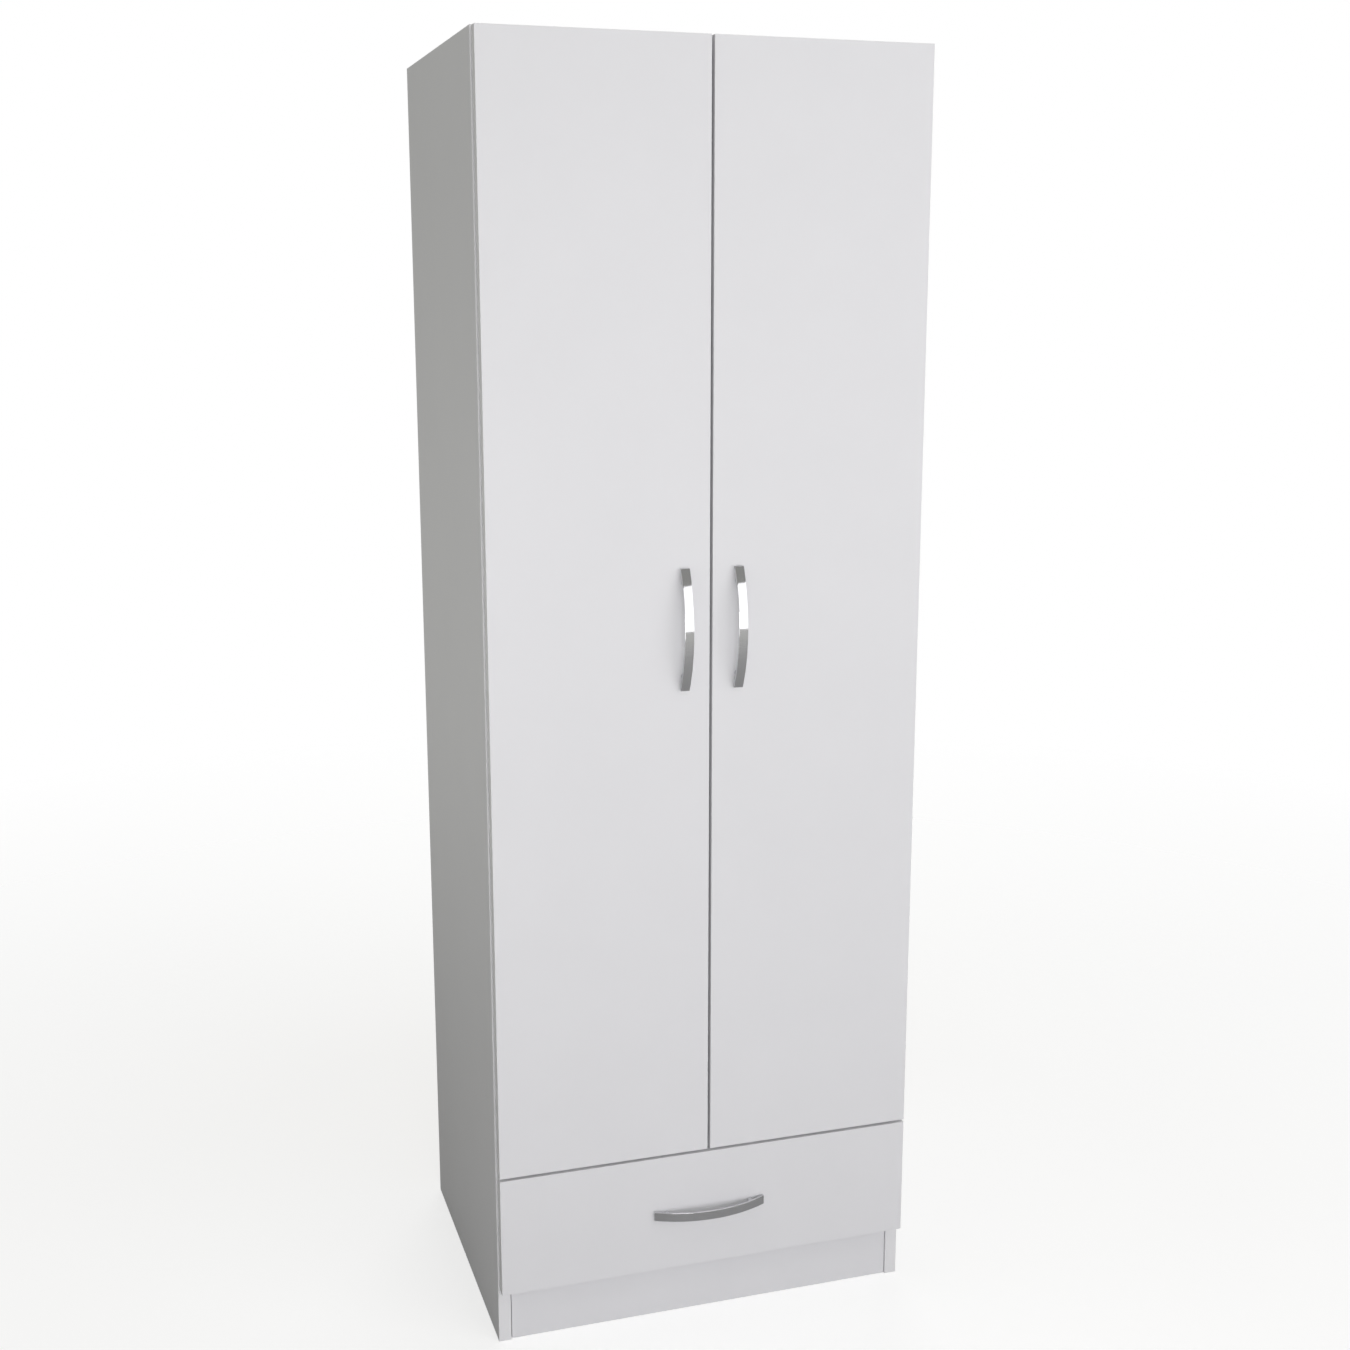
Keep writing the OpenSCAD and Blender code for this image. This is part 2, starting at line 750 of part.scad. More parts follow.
// ---- Doors ----

module at_door_handle_screws() {
    for (s = [-1, 1]) translate([handle_x, front_back_y, handle_z + s * handle_pitch / 2])
        rotate([-90, 0, 0]) children();
}

module door_board() {
    color(board_colour) difference() {
        translate([-front_w / 2, front_y, door_z]) cube([door_w, front_t, door_h]);
        at_hinges() {
            translate([cup_u, door_v - cut, 0]) rotate([-90, 0, 0]) cylinder(d = cup_d, h = cup_depth + cut);
            for (s = [-1, 1]) translate([cup_u + ear_offset, door_v - cut, s * ear_screw_z])
                rotate([-90, 0, 0]) cylinder(d = cup_screw_d, h = cup_screw_l - flange_t + cut);
        }
        at_door_handle_screws() translate([0, 0, -front_t - cut])
            cylinder(d = handle_hole_d, h = front_t + 2 * cut);
    }
}

module door_left() { on_side(-1) door_board(); }
module door_right() { on_side(1) door_board(); }

// Cylinder about the handle arc's centre line, as wide as the strap
module arc_slice(r) {
    translate([0, handle_w / 2, 0]) rotate([90, 0, 0]) linear_extrude(handle_w)
        translate([0, -arc_drop]) circle(r = r, $fn = 180);
}

// Bowed strap handle along X on two bosses that stand on z = 0
module bow_handle() {
    color(chrome_colour) difference() {
        union() {
            intersection() {
                difference() {
                    arc_slice(arc_r);
                    arc_slice(arc_r - handle_t);
                }
                translate([-handle_l / 2, -handle_w, 0]) cube([handle_l, 2 * handle_w, handle_rise + cut]);
            }
            for (s = [-1, 1]) intersection() {
                translate([s * handle_pitch / 2, 0, 0]) cylinder(d = handle_boss_d, h = handle_rise);
                arc_slice(arc_r - handle_t / 2);
            }
        }
        for (s = [-1, 1]) translate([s * handle_pitch / 2, 0, -cut])
            cylinder(d = handle_tap_d, h = handle_tap_l + cut);
    }
}

// Handle screw along Z: its head stands on z = 0, its tip bites into the handle
module handle_screw() {
    color(steel_colour) {
        screw(handle_screw_d, front_t, wood_head_d, wood_head_h);
        translate([0, 0, -front_t - handle_screw_bite]) cylinder(d = handle_tap_d, h = handle_screw_bite + 1);
    }
}

module door_handle() {
    translate([handle_x, front_y, handle_z]) rotate([0, 90, 0]) rotate([90, 0, 0]) bow_handle();
}

module door_handle_left() { on_side(-1) door_handle(); }
module door_handle_right() { on_side(1) door_handle(); }
module door_handle_screws_left() { on_side(-1) at_door_handle_screws() handle_screw(); }
module door_handle_screws_right() { on_side(1) at_door_handle_screws() handle_screw(); }

// Soft bumper on the back face of a front
module bumper() {
    color(clear_colour) rotate([-90, 0, 0]) cylinder(d = bumper_d, h = front_back_gap - bumper_gap);
}

module door_bumpers() {
    for (z = [door_z + bumper_d / 2 + 0.5, top_z + board_t / 2])
        translate([-front_gap / 2 - 12, front_back_y, z]) bumper();
}

module door_bumpers_left() { on_side(-1) door_bumpers(); }
module door_bumpers_right() { on_side(1) door_bumpers(); }

// ---- Drawer ----

module drawer_front() {
    color(board_colour) difference() {
        translate([-front_w / 2, front_y, drawer_front_z]) cube([front_w, front_t, drawer_front_h]);
        translate([box_inner_x - groove_depth, front_back_y - groove_depth, bottom_z])
            cube([-2 * (box_inner_x - groove_depth), groove_depth + cut, sheet_t + groove_clear]);
        both_sides() for (z = drawer_joint_zs)
            translate([box_x + drawer_board_t / 2, front_back_y + cut, z])
                rotate([90, 0, 0]) cylinder(d = bolt_d, h = bolt_l + cut);
        at_drawer_handle_screws() translate([0, 0, -front_t - cut])
            cylinder(d = handle_hole_d, h = front_t + 2 * cut);
    }
}

module at_drawer_handle_screws() {
    for (s = [-1, 1]) translate([s * handle_pitch / 2, front_back_y, drawer_handle_z])
        rotate([-90, 0, 0]) children();
}

module drawer_handle() {
    translate([0, front_y, drawer_handle_z]) rotate([90, 0, 0]) bow_handle();
}

module drawer_handle_screws() { at_drawer_handle_screws() handle_screw(); }

// Places of the cam fittings that hold the drawer front to the left drawer side
module at_drawer_cams() {
    for (z = drawer_joint_zs) translate([box_inner_x, front_back_y + cam_inset, z])
        rotate([90, 0, 90]) children();
}

module at_drawer_back_screws() {
    for (z = drawer_joint_zs) translate([box_x, box_end_y - drawer_board_t / 2, z])
        rotate([0, -90, 0]) children();
}

module drawer_side() {
    color(box_colour) difference() {
        translate([box_x, front_back_y, box_z]) cube([drawer_board_t, drawer_d, drawer_box_h]);
        translate([box_inner_x - groove_depth, front_back_y - cut, bottom_z])
            cube([groove_depth + cut, drawer_d + 2 * cut, sheet_t + groove_clear]);
        at_drawer_cams() {
            cam_pocket(drawer_cam_depth);
            translate([0, 0, -drawer_board_t / 2]) bore_left(bolt_bore_d, cam_inset + cut);
        }
        at_drawer_back_screws() {
            translate([0, 0, -drawer_board_t - cut]) cylinder(d = wood_screw_d, h = drawer_board_t + cut);
            translate([0, 0, -drawer_back_head_h]) cylinder(d = wood_head_d, h = drawer_back_head_h + cut);
        }
        at_lip_screws() translate([0, 0, -wood_screw_l]) cylinder(d = lip_screw_d, h = wood_screw_l);
    }
}

module drawer_side_left() { on_side(-1) drawer_side(); }
module drawer_side_right() { on_side(1) drawer_side(); }

module drawer_back() {
    color(box_colour) difference() {
        translate([box_inner_x, box_end_y - drawer_board_t, drawer_back_z])
            cube([-2 * box_inner_x, drawer_board_t, box_z + drawer_box_h - drawer_back_z]);
        both_sides() at_drawer_back_screws() translate([0, 0, -drawer_back_screw_l])
            cylinder(d = wood_screw_d, h = drawer_back_screw_l);
    }
}

module drawer_bottom() {
    bottom_x = box_inner_x - groove_depth + 0.5;
    color(sheet_colour) translate([bottom_x, front_back_y - groove_depth + 0.5, bottom_z])
        cube([-2 * bottom_x, drawer_d + groove_depth - 0.5, sheet_t]);
}

module drawer_cam_locks() {
    color(zinc_colour) both_sides() at_drawer_cams() cam_lock(drawer_cam_depth, drawer_board_t / 2);
}

module drawer_cam_bolts() {
    color(steel_colour) both_sides() at_drawer_cams()
        translate([-cam_inset, 0, -drawer_board_t / 2]) cam_bolt();
}

module drawer_back_screws() {
    color(steel_colour) both_sides() at_drawer_back_screws()
        translate([0, 0, -drawer_back_head_h])
            screw(wood_screw_d, drawer_back_screw_l - drawer_back_head_h, wood_head_d, wood_head_h);
}

module drawer_bumpers() {
    both_sides() for (z = [drawer_front_z + 12, drawer_front_z + drawer_front_h - 12])
        translate([inner_x - board_t / 2, front_back_y, z]) bumper();
}

// ---- Runners ----

// Axle with an inner shoulder and an end cap, along X from x = 0, for one roller
module roller_axle(shoulder) {
    rotate([0, 90, 0]) {
        cylinder(d = axle_d, h = shoulder + roller_w + roller_end_gap + roller_cap_t);
        cylinder(d = roller_stop_d, h = shoulder - roller_end_gap);
        translate([0, 0, shoulder + roller_w + roller_end_gap])
            cylinder(d = roller_stop_d, h = roller_cap_t);
    }
}

module runner_cabinet() {
    color(steel_colour) at_runner() difference() {
        union() {
            translate([0, runner_y, 0]) cube([runner_t, runner_l, runner_h]);
            translate([0, runner_y, 0]) cube([runner_flange, runner_l, runner_t]);
            translate([0, front_roller_y + roller_d / 2 + 2, runner_h - runner_t])
                cube([runner_flange, runner_l - (front_roller_y - runner_y) - roller_d / 2 - 2, runner_t]);
            translate([runner_t, front_roller_y, front_roller_q]) roller_axle(roller_p - runner_t);
        }
        for (y = runner_screw_ys) translate([runner_t, runner_y + y, runner_screw_q])
            bore_left(wood_screw_d, runner_t + cut);
    }
}

module runner_cabinet_left() { on_side(-1) runner_cabinet(); }
module runner_cabinet_right() { on_side(1) runner_cabinet(); }

module runner_cabinet_screws() {
    color(steel_colour) both_sides() at_runner() for (y = runner_screw_ys)
        translate([runner_t, runner_y + y, runner_screw_q])
            screw_left(wood_screw_d, wood_screw_l, runner_head_d, runner_head_h);
}

// Member under the drawer side: web, rolling flange above, lip below and the rear axle
module runner_drawer() {
    color(steel_colour) difference() {
        at_runner() {
            translate([runner_p, slide_y, lip_q]) cube([runner_t, runner_l, rail_flange_q + runner_t - lip_q]);
            translate([runner_p - runner_flange + 2.5, slide_y, rail_flange_q])
                cube([runner_flange + runner_t - 2.5, runner_l, runner_t]);
            translate([runner_p, slide_y, lip_q]) cube([runner_t + lip_w, runner_l, runner_t]);
            translate([runner_p, rear_roller_y, rear_roller_q]) mirror([1, 0, 0])
                roller_axle(runner_p - roller_p - roller_w);
        }
        at_lip_screws() translate([0, 0, -cut]) cylinder(d = lip_screw_d, h = runner_t + 2 * cut);
    }
}

// Places of the screws through the lip, with +Z pointing down out of the drawer side
module at_lip_screws() {
    for (y = lip_screw_ys) translate([inner_x + lip_screw_p, slide_y + y, box_z])
        rotate([180, 0, 0]) children();
}

module runner_drawer_left() { on_side(-1) runner_drawer(); }
module runner_drawer_right() { on_side(1) runner_drawer(); }

module runner_drawer_screws() {
    color(steel_colour) both_sides() at_lip_screws() translate([0, 0, runner_t])
        screw(lip_screw_d, wood_screw_l + runner_t, lip_head_d, runner_head_h);
}

// Grooved nylon roller along X from x = 0
module roller() {
    color(roller_colour) rotate([0, 90, 0]) difference() {
        cylinder(d = roller_d, h = roller_w);
        translate([0, 0, -cut]) cylinder(d = axle_d + 2 * axle_clear, h = roller_w + 2 * cut);
    }
}

module roller_cabinet() {
    at_runner() translate([roller_p, front_roller_y, front_roller_q]) roller();
}

module roller_drawer() {
    at_runner() translate([roller_p, rear_roller_y, rear_roller_q]) roller();
}

module roller_cabinet_left() { on_side(-1) roller_cabinet(); }
module roller_cabinet_right() { on_side(1) roller_cabinet(); }
module roller_drawer_left() { on_side(-1) roller_drawer(); }
module roller_drawer_right() { on_side(1) roller_drawer(); }

// ---- Wall brackets ----

module wall_bracket() {
    difference() {
        translate([-wall_bracket_x - bracket_w / 2, 0, 0]) {
            translate([0, sheet_y - bracket_leg, top_z - bracket_t]) cube([bracket_w, bracket_leg, bracket_t]);
            translate([0, sheet_y - bracket_t, top_z - bracket_leg]) cube([bracket_w, bracket_t, bracket_leg]);
        }
        at_wall_hole() cylinder(d = wall_hole_d, h = sheet_t + bracket_t + 2 * cut);
        at_bracket_screw() translate([0, 0, -cut]) cylinder(d = bracket_screw_d, h = bracket_t + 2 * cut);
    }
}

// Place of the screw into the top panel, with +Z pointing down
module at_bracket_screw() {
    translate([-wall_bracket_x, sheet_y - bracket_t - bracket_screw_in, top_z])
        rotate([180, 0, 0]) children();
}

module wall_brackets() { color(steel_colour) both_sides() wall_bracket(); }

module wall_bracket_screws() {
    color(steel_colour) both_sides() at_bracket_screw() translate([0, 0, bracket_t])
        screw(bracket_screw_d, wood_screw_l, 7, wood_head_h);
}

side_panel_left();
side_panel_right();
top_panel();
divider_panel();
base_panel();
plinth_board();
hat_shelf();
back_panel_upper();
back_panel_lower();
back_joining_strip();
back_panel_pins();
cam_locks();
cam_bolts();
wooden_dowels();
shelf_support_pins();
hanging_rail();
rail_socket_left();
rail_socket_right();
rail_socket_screws();
hinge_mounting_plates();
hinge_plate_screws();
hinge_arms();
hinge_arm_screws();
runner_cabinet_left();
runner_cabinet_right();
runner_cabinet_screws();
wall_brackets();
wall_bracket_screws();
door_left();
door_handle_left();
door_handle_screws_left();
hinge_cups_left();
hinge_pins_left();
hinge_cup_screws_left();
door_bumpers_left();
door_right();
door_handle_right();
door_handle_screws_right();
hinge_cups_right();
hinge_pins_right();
hinge_cup_screws_right();
door_bumpers_right();
drawer_front();
drawer_side_left();
drawer_side_right();
drawer_back();
drawer_bottom();
drawer_handle();
drawer_handle_screws();
drawer_cam_locks();
drawer_cam_bolts();
drawer_back_screws();
runner_drawer_left();
runner_drawer_right();
runner_drawer_screws();
drawer_bumpers();
roller_cabinet_left();
roller_cabinet_right();
roller_drawer_left();
roller_drawer_right();
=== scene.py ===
import json
import math
import bmesh
import bpy
import numpy as np
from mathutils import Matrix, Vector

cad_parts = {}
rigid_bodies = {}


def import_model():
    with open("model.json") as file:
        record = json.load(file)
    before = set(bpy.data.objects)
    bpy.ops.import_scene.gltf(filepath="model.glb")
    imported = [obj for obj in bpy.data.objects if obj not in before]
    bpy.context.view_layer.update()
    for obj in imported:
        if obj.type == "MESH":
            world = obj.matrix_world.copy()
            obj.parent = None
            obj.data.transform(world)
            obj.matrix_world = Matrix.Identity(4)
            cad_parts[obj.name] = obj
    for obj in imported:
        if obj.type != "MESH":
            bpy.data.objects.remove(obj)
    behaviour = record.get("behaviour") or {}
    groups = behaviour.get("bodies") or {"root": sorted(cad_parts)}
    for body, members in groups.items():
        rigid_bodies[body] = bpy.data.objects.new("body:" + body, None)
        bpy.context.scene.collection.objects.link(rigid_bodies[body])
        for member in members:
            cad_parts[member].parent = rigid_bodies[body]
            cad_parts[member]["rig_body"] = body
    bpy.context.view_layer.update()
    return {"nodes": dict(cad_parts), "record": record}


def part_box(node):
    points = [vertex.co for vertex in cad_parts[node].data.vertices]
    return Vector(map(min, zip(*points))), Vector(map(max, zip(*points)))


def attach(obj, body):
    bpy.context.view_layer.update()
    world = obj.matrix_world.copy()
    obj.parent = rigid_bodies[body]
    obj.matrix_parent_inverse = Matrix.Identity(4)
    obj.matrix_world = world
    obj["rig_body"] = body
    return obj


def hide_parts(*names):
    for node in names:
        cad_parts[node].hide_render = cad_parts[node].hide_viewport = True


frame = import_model()
sharpAngle = math.radians(35)  # creases above this angle stay sharp on the new pieces
joinDecimals = 7  # places that agree to this many decimals of a metre are one
print("frame loaded:", len(frame["nodes"]), "nodes")


def corners(node):
    # lowest and highest corner of a CAD node as arrays
    low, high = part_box(node)
    return np.array(low), np.array(high)


def readTriangles(node):
    # vertex places and triangles of a CAD node, with equal places joined
    mesh = frame["nodes"][node].data
    places = np.empty(len(mesh.vertices) * 3)
    mesh.vertices.foreach_get("co", places)
    mesh.calc_loop_triangles()
    triangles = np.empty(len(mesh.loop_triangles) * 3, dtype=np.int64)
    mesh.loop_triangles.foreach_get("vertices", triangles)
    rounded = np.round(places.reshape(-1, 3), joinDecimals)
    unique, index = np.unique(rounded, axis=0, return_inverse=True)
    return unique, index.reshape(-1)[triangles].reshape(-1, 3)


def solidBoxes(node):
    # each separate solid of a CAD node as a low and a high corner:
    # every vertex takes the smallest label among its triangles until nothing changes
    places, triangles = readTriangles(node)
    label = np.arange(len(places))
    while True:
        smallest = label[triangles].min(axis=1)
        after = label.copy()
        for column in range(3):
            np.minimum.at(after, triangles[:, column], smallest)
        after = after[after]
        if np.array_equal(after, label):
            break
        label = after
    return [(places[label == k].min(0), places[label == k].max(0)) for k in np.unique(label)]


def gridFaces(rows, columns):
    # quads between neighbouring rows of a grid whose columns run round: a corner's number is
    # row * columns + column, and the last column meets the first
    row, column = np.meshgrid(np.arange(rows - 1), np.arange(columns), indexing="ij")
    here = row * columns + column
    side = row * columns + (column + 1) % columns
    return np.stack([here, side, side + columns, here + columns], -1).reshape(-1, 4)


def buildObject(name, places, quads, materials, smooth=True, caps=()):
    # mesh object from an array of places, quads and a few larger end faces
    mesh = bpy.data.meshes.new(name)
    faces = [list(q) for q in quads.tolist()] + [list(c) for c in caps]
    mesh.from_pydata(places.reshape(-1, 3).tolist(), [], faces)
    mesh.validate()
    mesh.polygons.foreach_set("use_smooth", np.full(len(mesh.polygons), smooth))
    for material in materials:
        mesh.materials.append(material)
    piece = bpy.data.objects.new(name, mesh)
    bpy.context.scene.collection.objects.link(piece)
    return piece


def settle(piece, body, slot, *nodes):
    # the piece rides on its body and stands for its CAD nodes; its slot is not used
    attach(piece, body)
    if nodes:
        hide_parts(*nodes)
    return piece


def bodyOf(node):
    # the moving or fixed body that a CAD node belongs to
    return frame["nodes"][node]["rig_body"]


def slotOf(node):
    # the material slot that the record gives a CAD node
    return next(s["material_slot"] for s in frame["record"]["subparts"] if s["node"] == node)


noiseRoughness = 0.55


def addNode(tree, kind, x, y, **values):
    # x and y are the node's place in the editor; values go to its settings or its sockets
    node = tree.nodes.new(kind)
    node.location = (x, y)
    for key, value in values.items():
        if hasattr(node, key):
            setattr(node, key, value)
        else:
            node.inputs[key].default_value = value
    return node


def startMaterial(name):
    # new material with its shader and the object's own coordinates
    material = bpy.data.materials.new(name)
    material.use_nodes = True
    tree = material.node_tree
    shader = tree.nodes["Principled BSDF"]
    coords = addNode(tree, "ShaderNodeTexCoord", -1200, 0)
    return material, tree, shader, coords.outputs["Object"]


def noiseFactor(tree, coords, scale, detail, x, y, stretch=None):
    # noise at a number of features per metre, stretched along the object's axes if asked
    source = coords
    if stretch:
        mapping = addNode(tree, "ShaderNodeMapping", x - 200, y)
        mapping.inputs["Scale"].default_value = stretch
        tree.links.new(coords, mapping.inputs["Vector"])
        source = mapping.outputs["Vector"]
    noise = addNode(tree, "ShaderNodeTexNoise", x, y, Scale=scale, Detail=detail,
                    Roughness=noiseRoughness)
    tree.links.new(source, noise.inputs["Vector"])
    return noise.outputs["Fac"]


def spreadRange(tree, factor, low, high, x, y, start=0.3, end=0.7):
    # low + (high - low) * (factor - start) / (end - start), held between low and high
    spread = addNode(tree, "ShaderNodeMapRange", x, y)
    spread.inputs["From Min"].default_value = start
    spread.inputs["From Max"].default_value = end
    spread.inputs["To Min"].default_value = low
    spread.inputs["To Max"].default_value = high
    tree.links.new(factor, spread.inputs["Value"])
    return spread.outputs["Result"]


def mixColours(tree, factor, first, second, x, y):
    # first colour where the factor is 0, second where it is 1
    mix = addNode(tree, "ShaderNodeMix", x, y, data_type="RGBA")
    for socket, colour in ((mix.inputs[6], first), (mix.inputs[7], second)):
        if isinstance(colour, bpy.types.NodeSocket):
            tree.links.new(colour, socket)
        else:
            socket.default_value = (*colour, 1.0)
    tree.links.new(factor, mix.inputs[0])
    return mix.outputs[2]


def addBump(tree, shader, height, strength, distance, x, y):
    # fine relief from a height factor; distance is its depth in metres
    bump = addNode(tree, "ShaderNodeBump", x, y, Strength=strength, Distance=distance)
    tree.links.new(height, bump.inputs["Height"])
    tree.links.new(bump.outputs["Normal"], shader.inputs["Normal"])


def laminate(name, look):
    # pressed melamine: faint cloudy tone, a fine grained press-plate surface, satin sheen
    material, tree, shader, coords = startMaterial(name)
    cloud = noiseFactor(tree, coords, look["cloudScale"], look["cloudDetail"], -900, 300)
    colour = mixColours(tree, cloud, look["colour"], look["colourLow"], -500, 300)
    tree.links.new(colour, shader.inputs["Base Color"])
    grain = noiseFactor(tree, coords, look["grainScale"], look["grainDetail"], -900, 0)
    rough = spreadRange(tree, grain, look["roughness"][0], look["roughness"][1], -500, 0)
    tree.links.new(rough, shader.inputs["Roughness"])
    addBump(tree, shader, grain, look["bump"], look["bumpDepth"], -300, -250)
    shader.inputs["Specular IOR Level"].default_value = look["specular"]
    return material


def metal(name, look):
    # plated metal: faint haze in the gloss and fine drawing marks along one axis
    material, tree, shader, coords = startMaterial(name)
    haze = noiseFactor(tree, coords, look["hazeScale"], look["hazeDetail"], -900, 300)
    colour = mixColours(tree, haze, look["colour"], look["colourLow"], -500, 300)
    tree.links.new(colour, shader.inputs["Base Color"])
    marks = noiseFactor(tree, coords, look["markScale"], look["markDetail"], -700, 0,
                        look["markStretch"])
    rough = spreadRange(tree, marks, look["roughness"][0], look["roughness"][1], -500, 0)
    tree.links.new(rough, shader.inputs["Roughness"])
    addBump(tree, shader, marks, look["bump"], look["bumpDepth"], -300, -250)
    shader.inputs["Metallic"].default_value = 1.0
    return material


def plastic(name, look):
    # moulded plastic or powder coat: slight colour drift and an orange-peel surface
    material, tree, shader, coords = startMaterial(name)
    drift = noiseFactor(tree, coords, look["driftScale"], look["driftDetail"], -900, 300)
    colour = mixColours(tree, drift, look["colour"], look["colourLow"], -500, 300)
    tree.links.new(colour, shader.inputs["Base Color"])
    peel = noiseFactor(tree, coords, look["peelScale"], look["peelDetail"], -900, 0)
    rough = spreadRange(tree, peel, look["roughness"][0], look["roughness"][1], -500, 0)
    tree.links.new(rough, shader.inputs["Roughness"])
    addBump(tree, shader, peel, look["bump"], look["bumpDepth"], -300, -250)
    if "clear" in look:
        shader.inputs["Transmission Weight"].default_value = look["clear"]
    return material


def hardboard(name, look):
    # raw fibre board behind, white lacquer on the side that faces the front or the top
    material, tree, shader, coords = startMaterial(name)
    fibre = noiseFactor(tree, coords, look["fibreScale"], look["fibreDetail"], -900, 300,
                        look["fibreStretch"])
    fleck = noiseFactor(tree, coords, look["fleckScale"], look["fleckDetail"], -900, 550)
    flecked = spreadRange(tree, fleck, 0, look["fleckShare"], -700, 550, *look["fleckRange"])
    brown = mixColours(tree, fibre, look["brown"], look["brownLow"], -600, 300)
    brown = mixColours(tree, flecked, brown, look["fleck"], -400, 450)
    split = addNode(tree, "ShaderNodeSeparateXYZ", -900, -300)
    tree.links.new(coords, split.inputs["Vector"])
    side = addNode(tree, "ShaderNodeMath", -700, -300, operation="GREATER_THAN")
    tree.links.new(split.outputs[look["axis"]], side.inputs[0])
    side.inputs[1].default_value = look["level"]
    first, second = (look["lacquer"], brown) if look["axis"] == "Y" else (brown, look["lacquer"])
    colour = mixColours(tree, side.outputs[0], first, second, -200, 300)
    tree.links.new(colour, shader.inputs["Base Color"])
    rough = spreadRange(tree, fibre, look["roughness"][0], look["roughness"][1], -500, 0)
    tree.links.new(rough, shader.inputs["Roughness"])
    addBump(tree, shader, fibre, look["bump"], look["bumpDepth"], -300, -250)
    return material


def beech(name, look):
    # short hardwood pins: fine grain along X with darker flecks
    material, tree, shader, coords = startMaterial(name)
    grain = noiseFactor(tree, coords, look["grainScale"], look["grainDetail"], -900, 300,
                        look["grainStretch"])
    colour = mixColours(tree, grain, look["colour"], look["colourLow"], -500, 300)
    tree.links.new(colour, shader.inputs["Base Color"])
    rough = spreadRange(tree, grain, look["roughness"][0], look["roughness"][1], -500, 0)
    tree.links.new(rough, shader.inputs["Roughness"])
    addBump(tree, shader, grain, look["bump"], look["bumpDepth"], -300, -250)
    return material


boardLook = {"colour": (0.80, 0.80, 0.825), "colourLow": (0.775, 0.775, 0.80), "cloudScale": 9,
             "cloudDetail": 3, "grainScale": 1400, "grainDetail": 2, "roughness": (0.36, 0.46),
             "bump": 0.12, "bumpDepth": 0.0002, "specular": 0.5}
edgeLook = dict(boardLook, colour=(0.84, 0.84, 0.86), colourLow=(0.82, 0.82, 0.84),
                grainScale=700, roughness=(0.28, 0.36))
drawerLook = dict(boardLook, colour=(0.80, 0.80, 0.795), colourLow=(0.77, 0.77, 0.765),
                  roughness=(0.5, 0.6), grainScale=900)
chromeLook = {"colour": (0.70, 0.70, 0.72), "colourLow": (0.66, 0.66, 0.68), "hazeScale": 40,
              "hazeDetail": 4, "markScale": 300, "markDetail": 3, "markStretch": (1, 1, 1),
              "roughness": (0.05, 0.09),
              "bump": 0.02, "bumpDepth": 0.0001}
nickelLook = {"colour": (0.66, 0.65, 0.63), "colourLow": (0.58, 0.57, 0.56), "hazeScale": 120,
              "hazeDetail": 4, "markScale": 500, "markDetail": 3, "markStretch": (1, 1, 0.08),
              "roughness": (0.2, 0.34),
              "bump": 0.06, "bumpDepth": 0.0002}
zincLook = {"colour": (0.60, 0.62, 0.66), "colourLow": (0.48, 0.50, 0.54), "hazeScale": 400,
            "hazeDetail": 4, "markScale": 900, "markDetail": 3, "markStretch": (1, 1, 1),
            "roughness": (0.25, 0.42), "bump": 0.08, "bumpDepth": 0.0002}
castLook = dict(zincLook, colour=(0.42, 0.43, 0.45), colourLow=(0.34, 0.35, 0.37),
                roughness=(0.38, 0.55), bump=0.2)
coatLook = {"colour": (0.82, 0.82, 0.81), "colourLow": (0.79, 0.79, 0.78), "driftScale": 30,
            "driftDetail": 2, "peelScale": 900, "peelDetail": 1, "roughness": (0.3, 0.42),
            "bump": 0.12, "bumpDepth": 0.0002}
stripLook = dict(coatLook, colour=(0.80, 0.80, 0.80), roughness=(0.42, 0.5), peelScale=500)
nylonLook = dict(coatLook, colour=(0.72, 0.71, 0.66), colourLow=(0.68, 0.66, 0.61),
                 roughness=(0.4, 0.5))
clearLook = dict(coatLook, colour=(0.86, 0.88, 0.9), colourLow=(0.84, 0.86, 0.88),
                 roughness=(0.15, 0.25), clear=0.7)
sheetMiddle = 0.0015  # half of the hardboard's thickness
backLook = {"brown": (0.30, 0.19, 0.11), "brownLow": (0.38, 0.26, 0.16), "fleck": (0.22, 0.13, 0.07),
            "lacquer": (0.78, 0.78, 0.78), "fibreScale": 260, "fibreDetail": 6,
            "fibreStretch": (1, 1, 0.35), "fleckScale": 500, "fleckDetail": 3, "fleckShare": 0.5,
            "fleckRange": (0.55, 0.75), "axis": "Y",
            "level": corners("back_panel_upper")[0][1] + sheetMiddle,
            "roughness": (0.55, 0.75), "bump": 0.25, "bumpDepth": 0.0003}
bottomLook = dict(backLook, axis="Z", level=corners("drawer_bottom")[0][2] + sheetMiddle,
                  fibreStretch=(1, 0.35, 1))
beechLook = {"colour": (0.62, 0.42, 0.25), "colourLow": (0.48, 0.30, 0.17), "grainScale": 900,
             "grainDetail": 5, "grainStretch": (0.1, 1, 1), "roughness": (0.55, 0.7), "bump": 0.2,
             "bumpDepth": 0.0003}

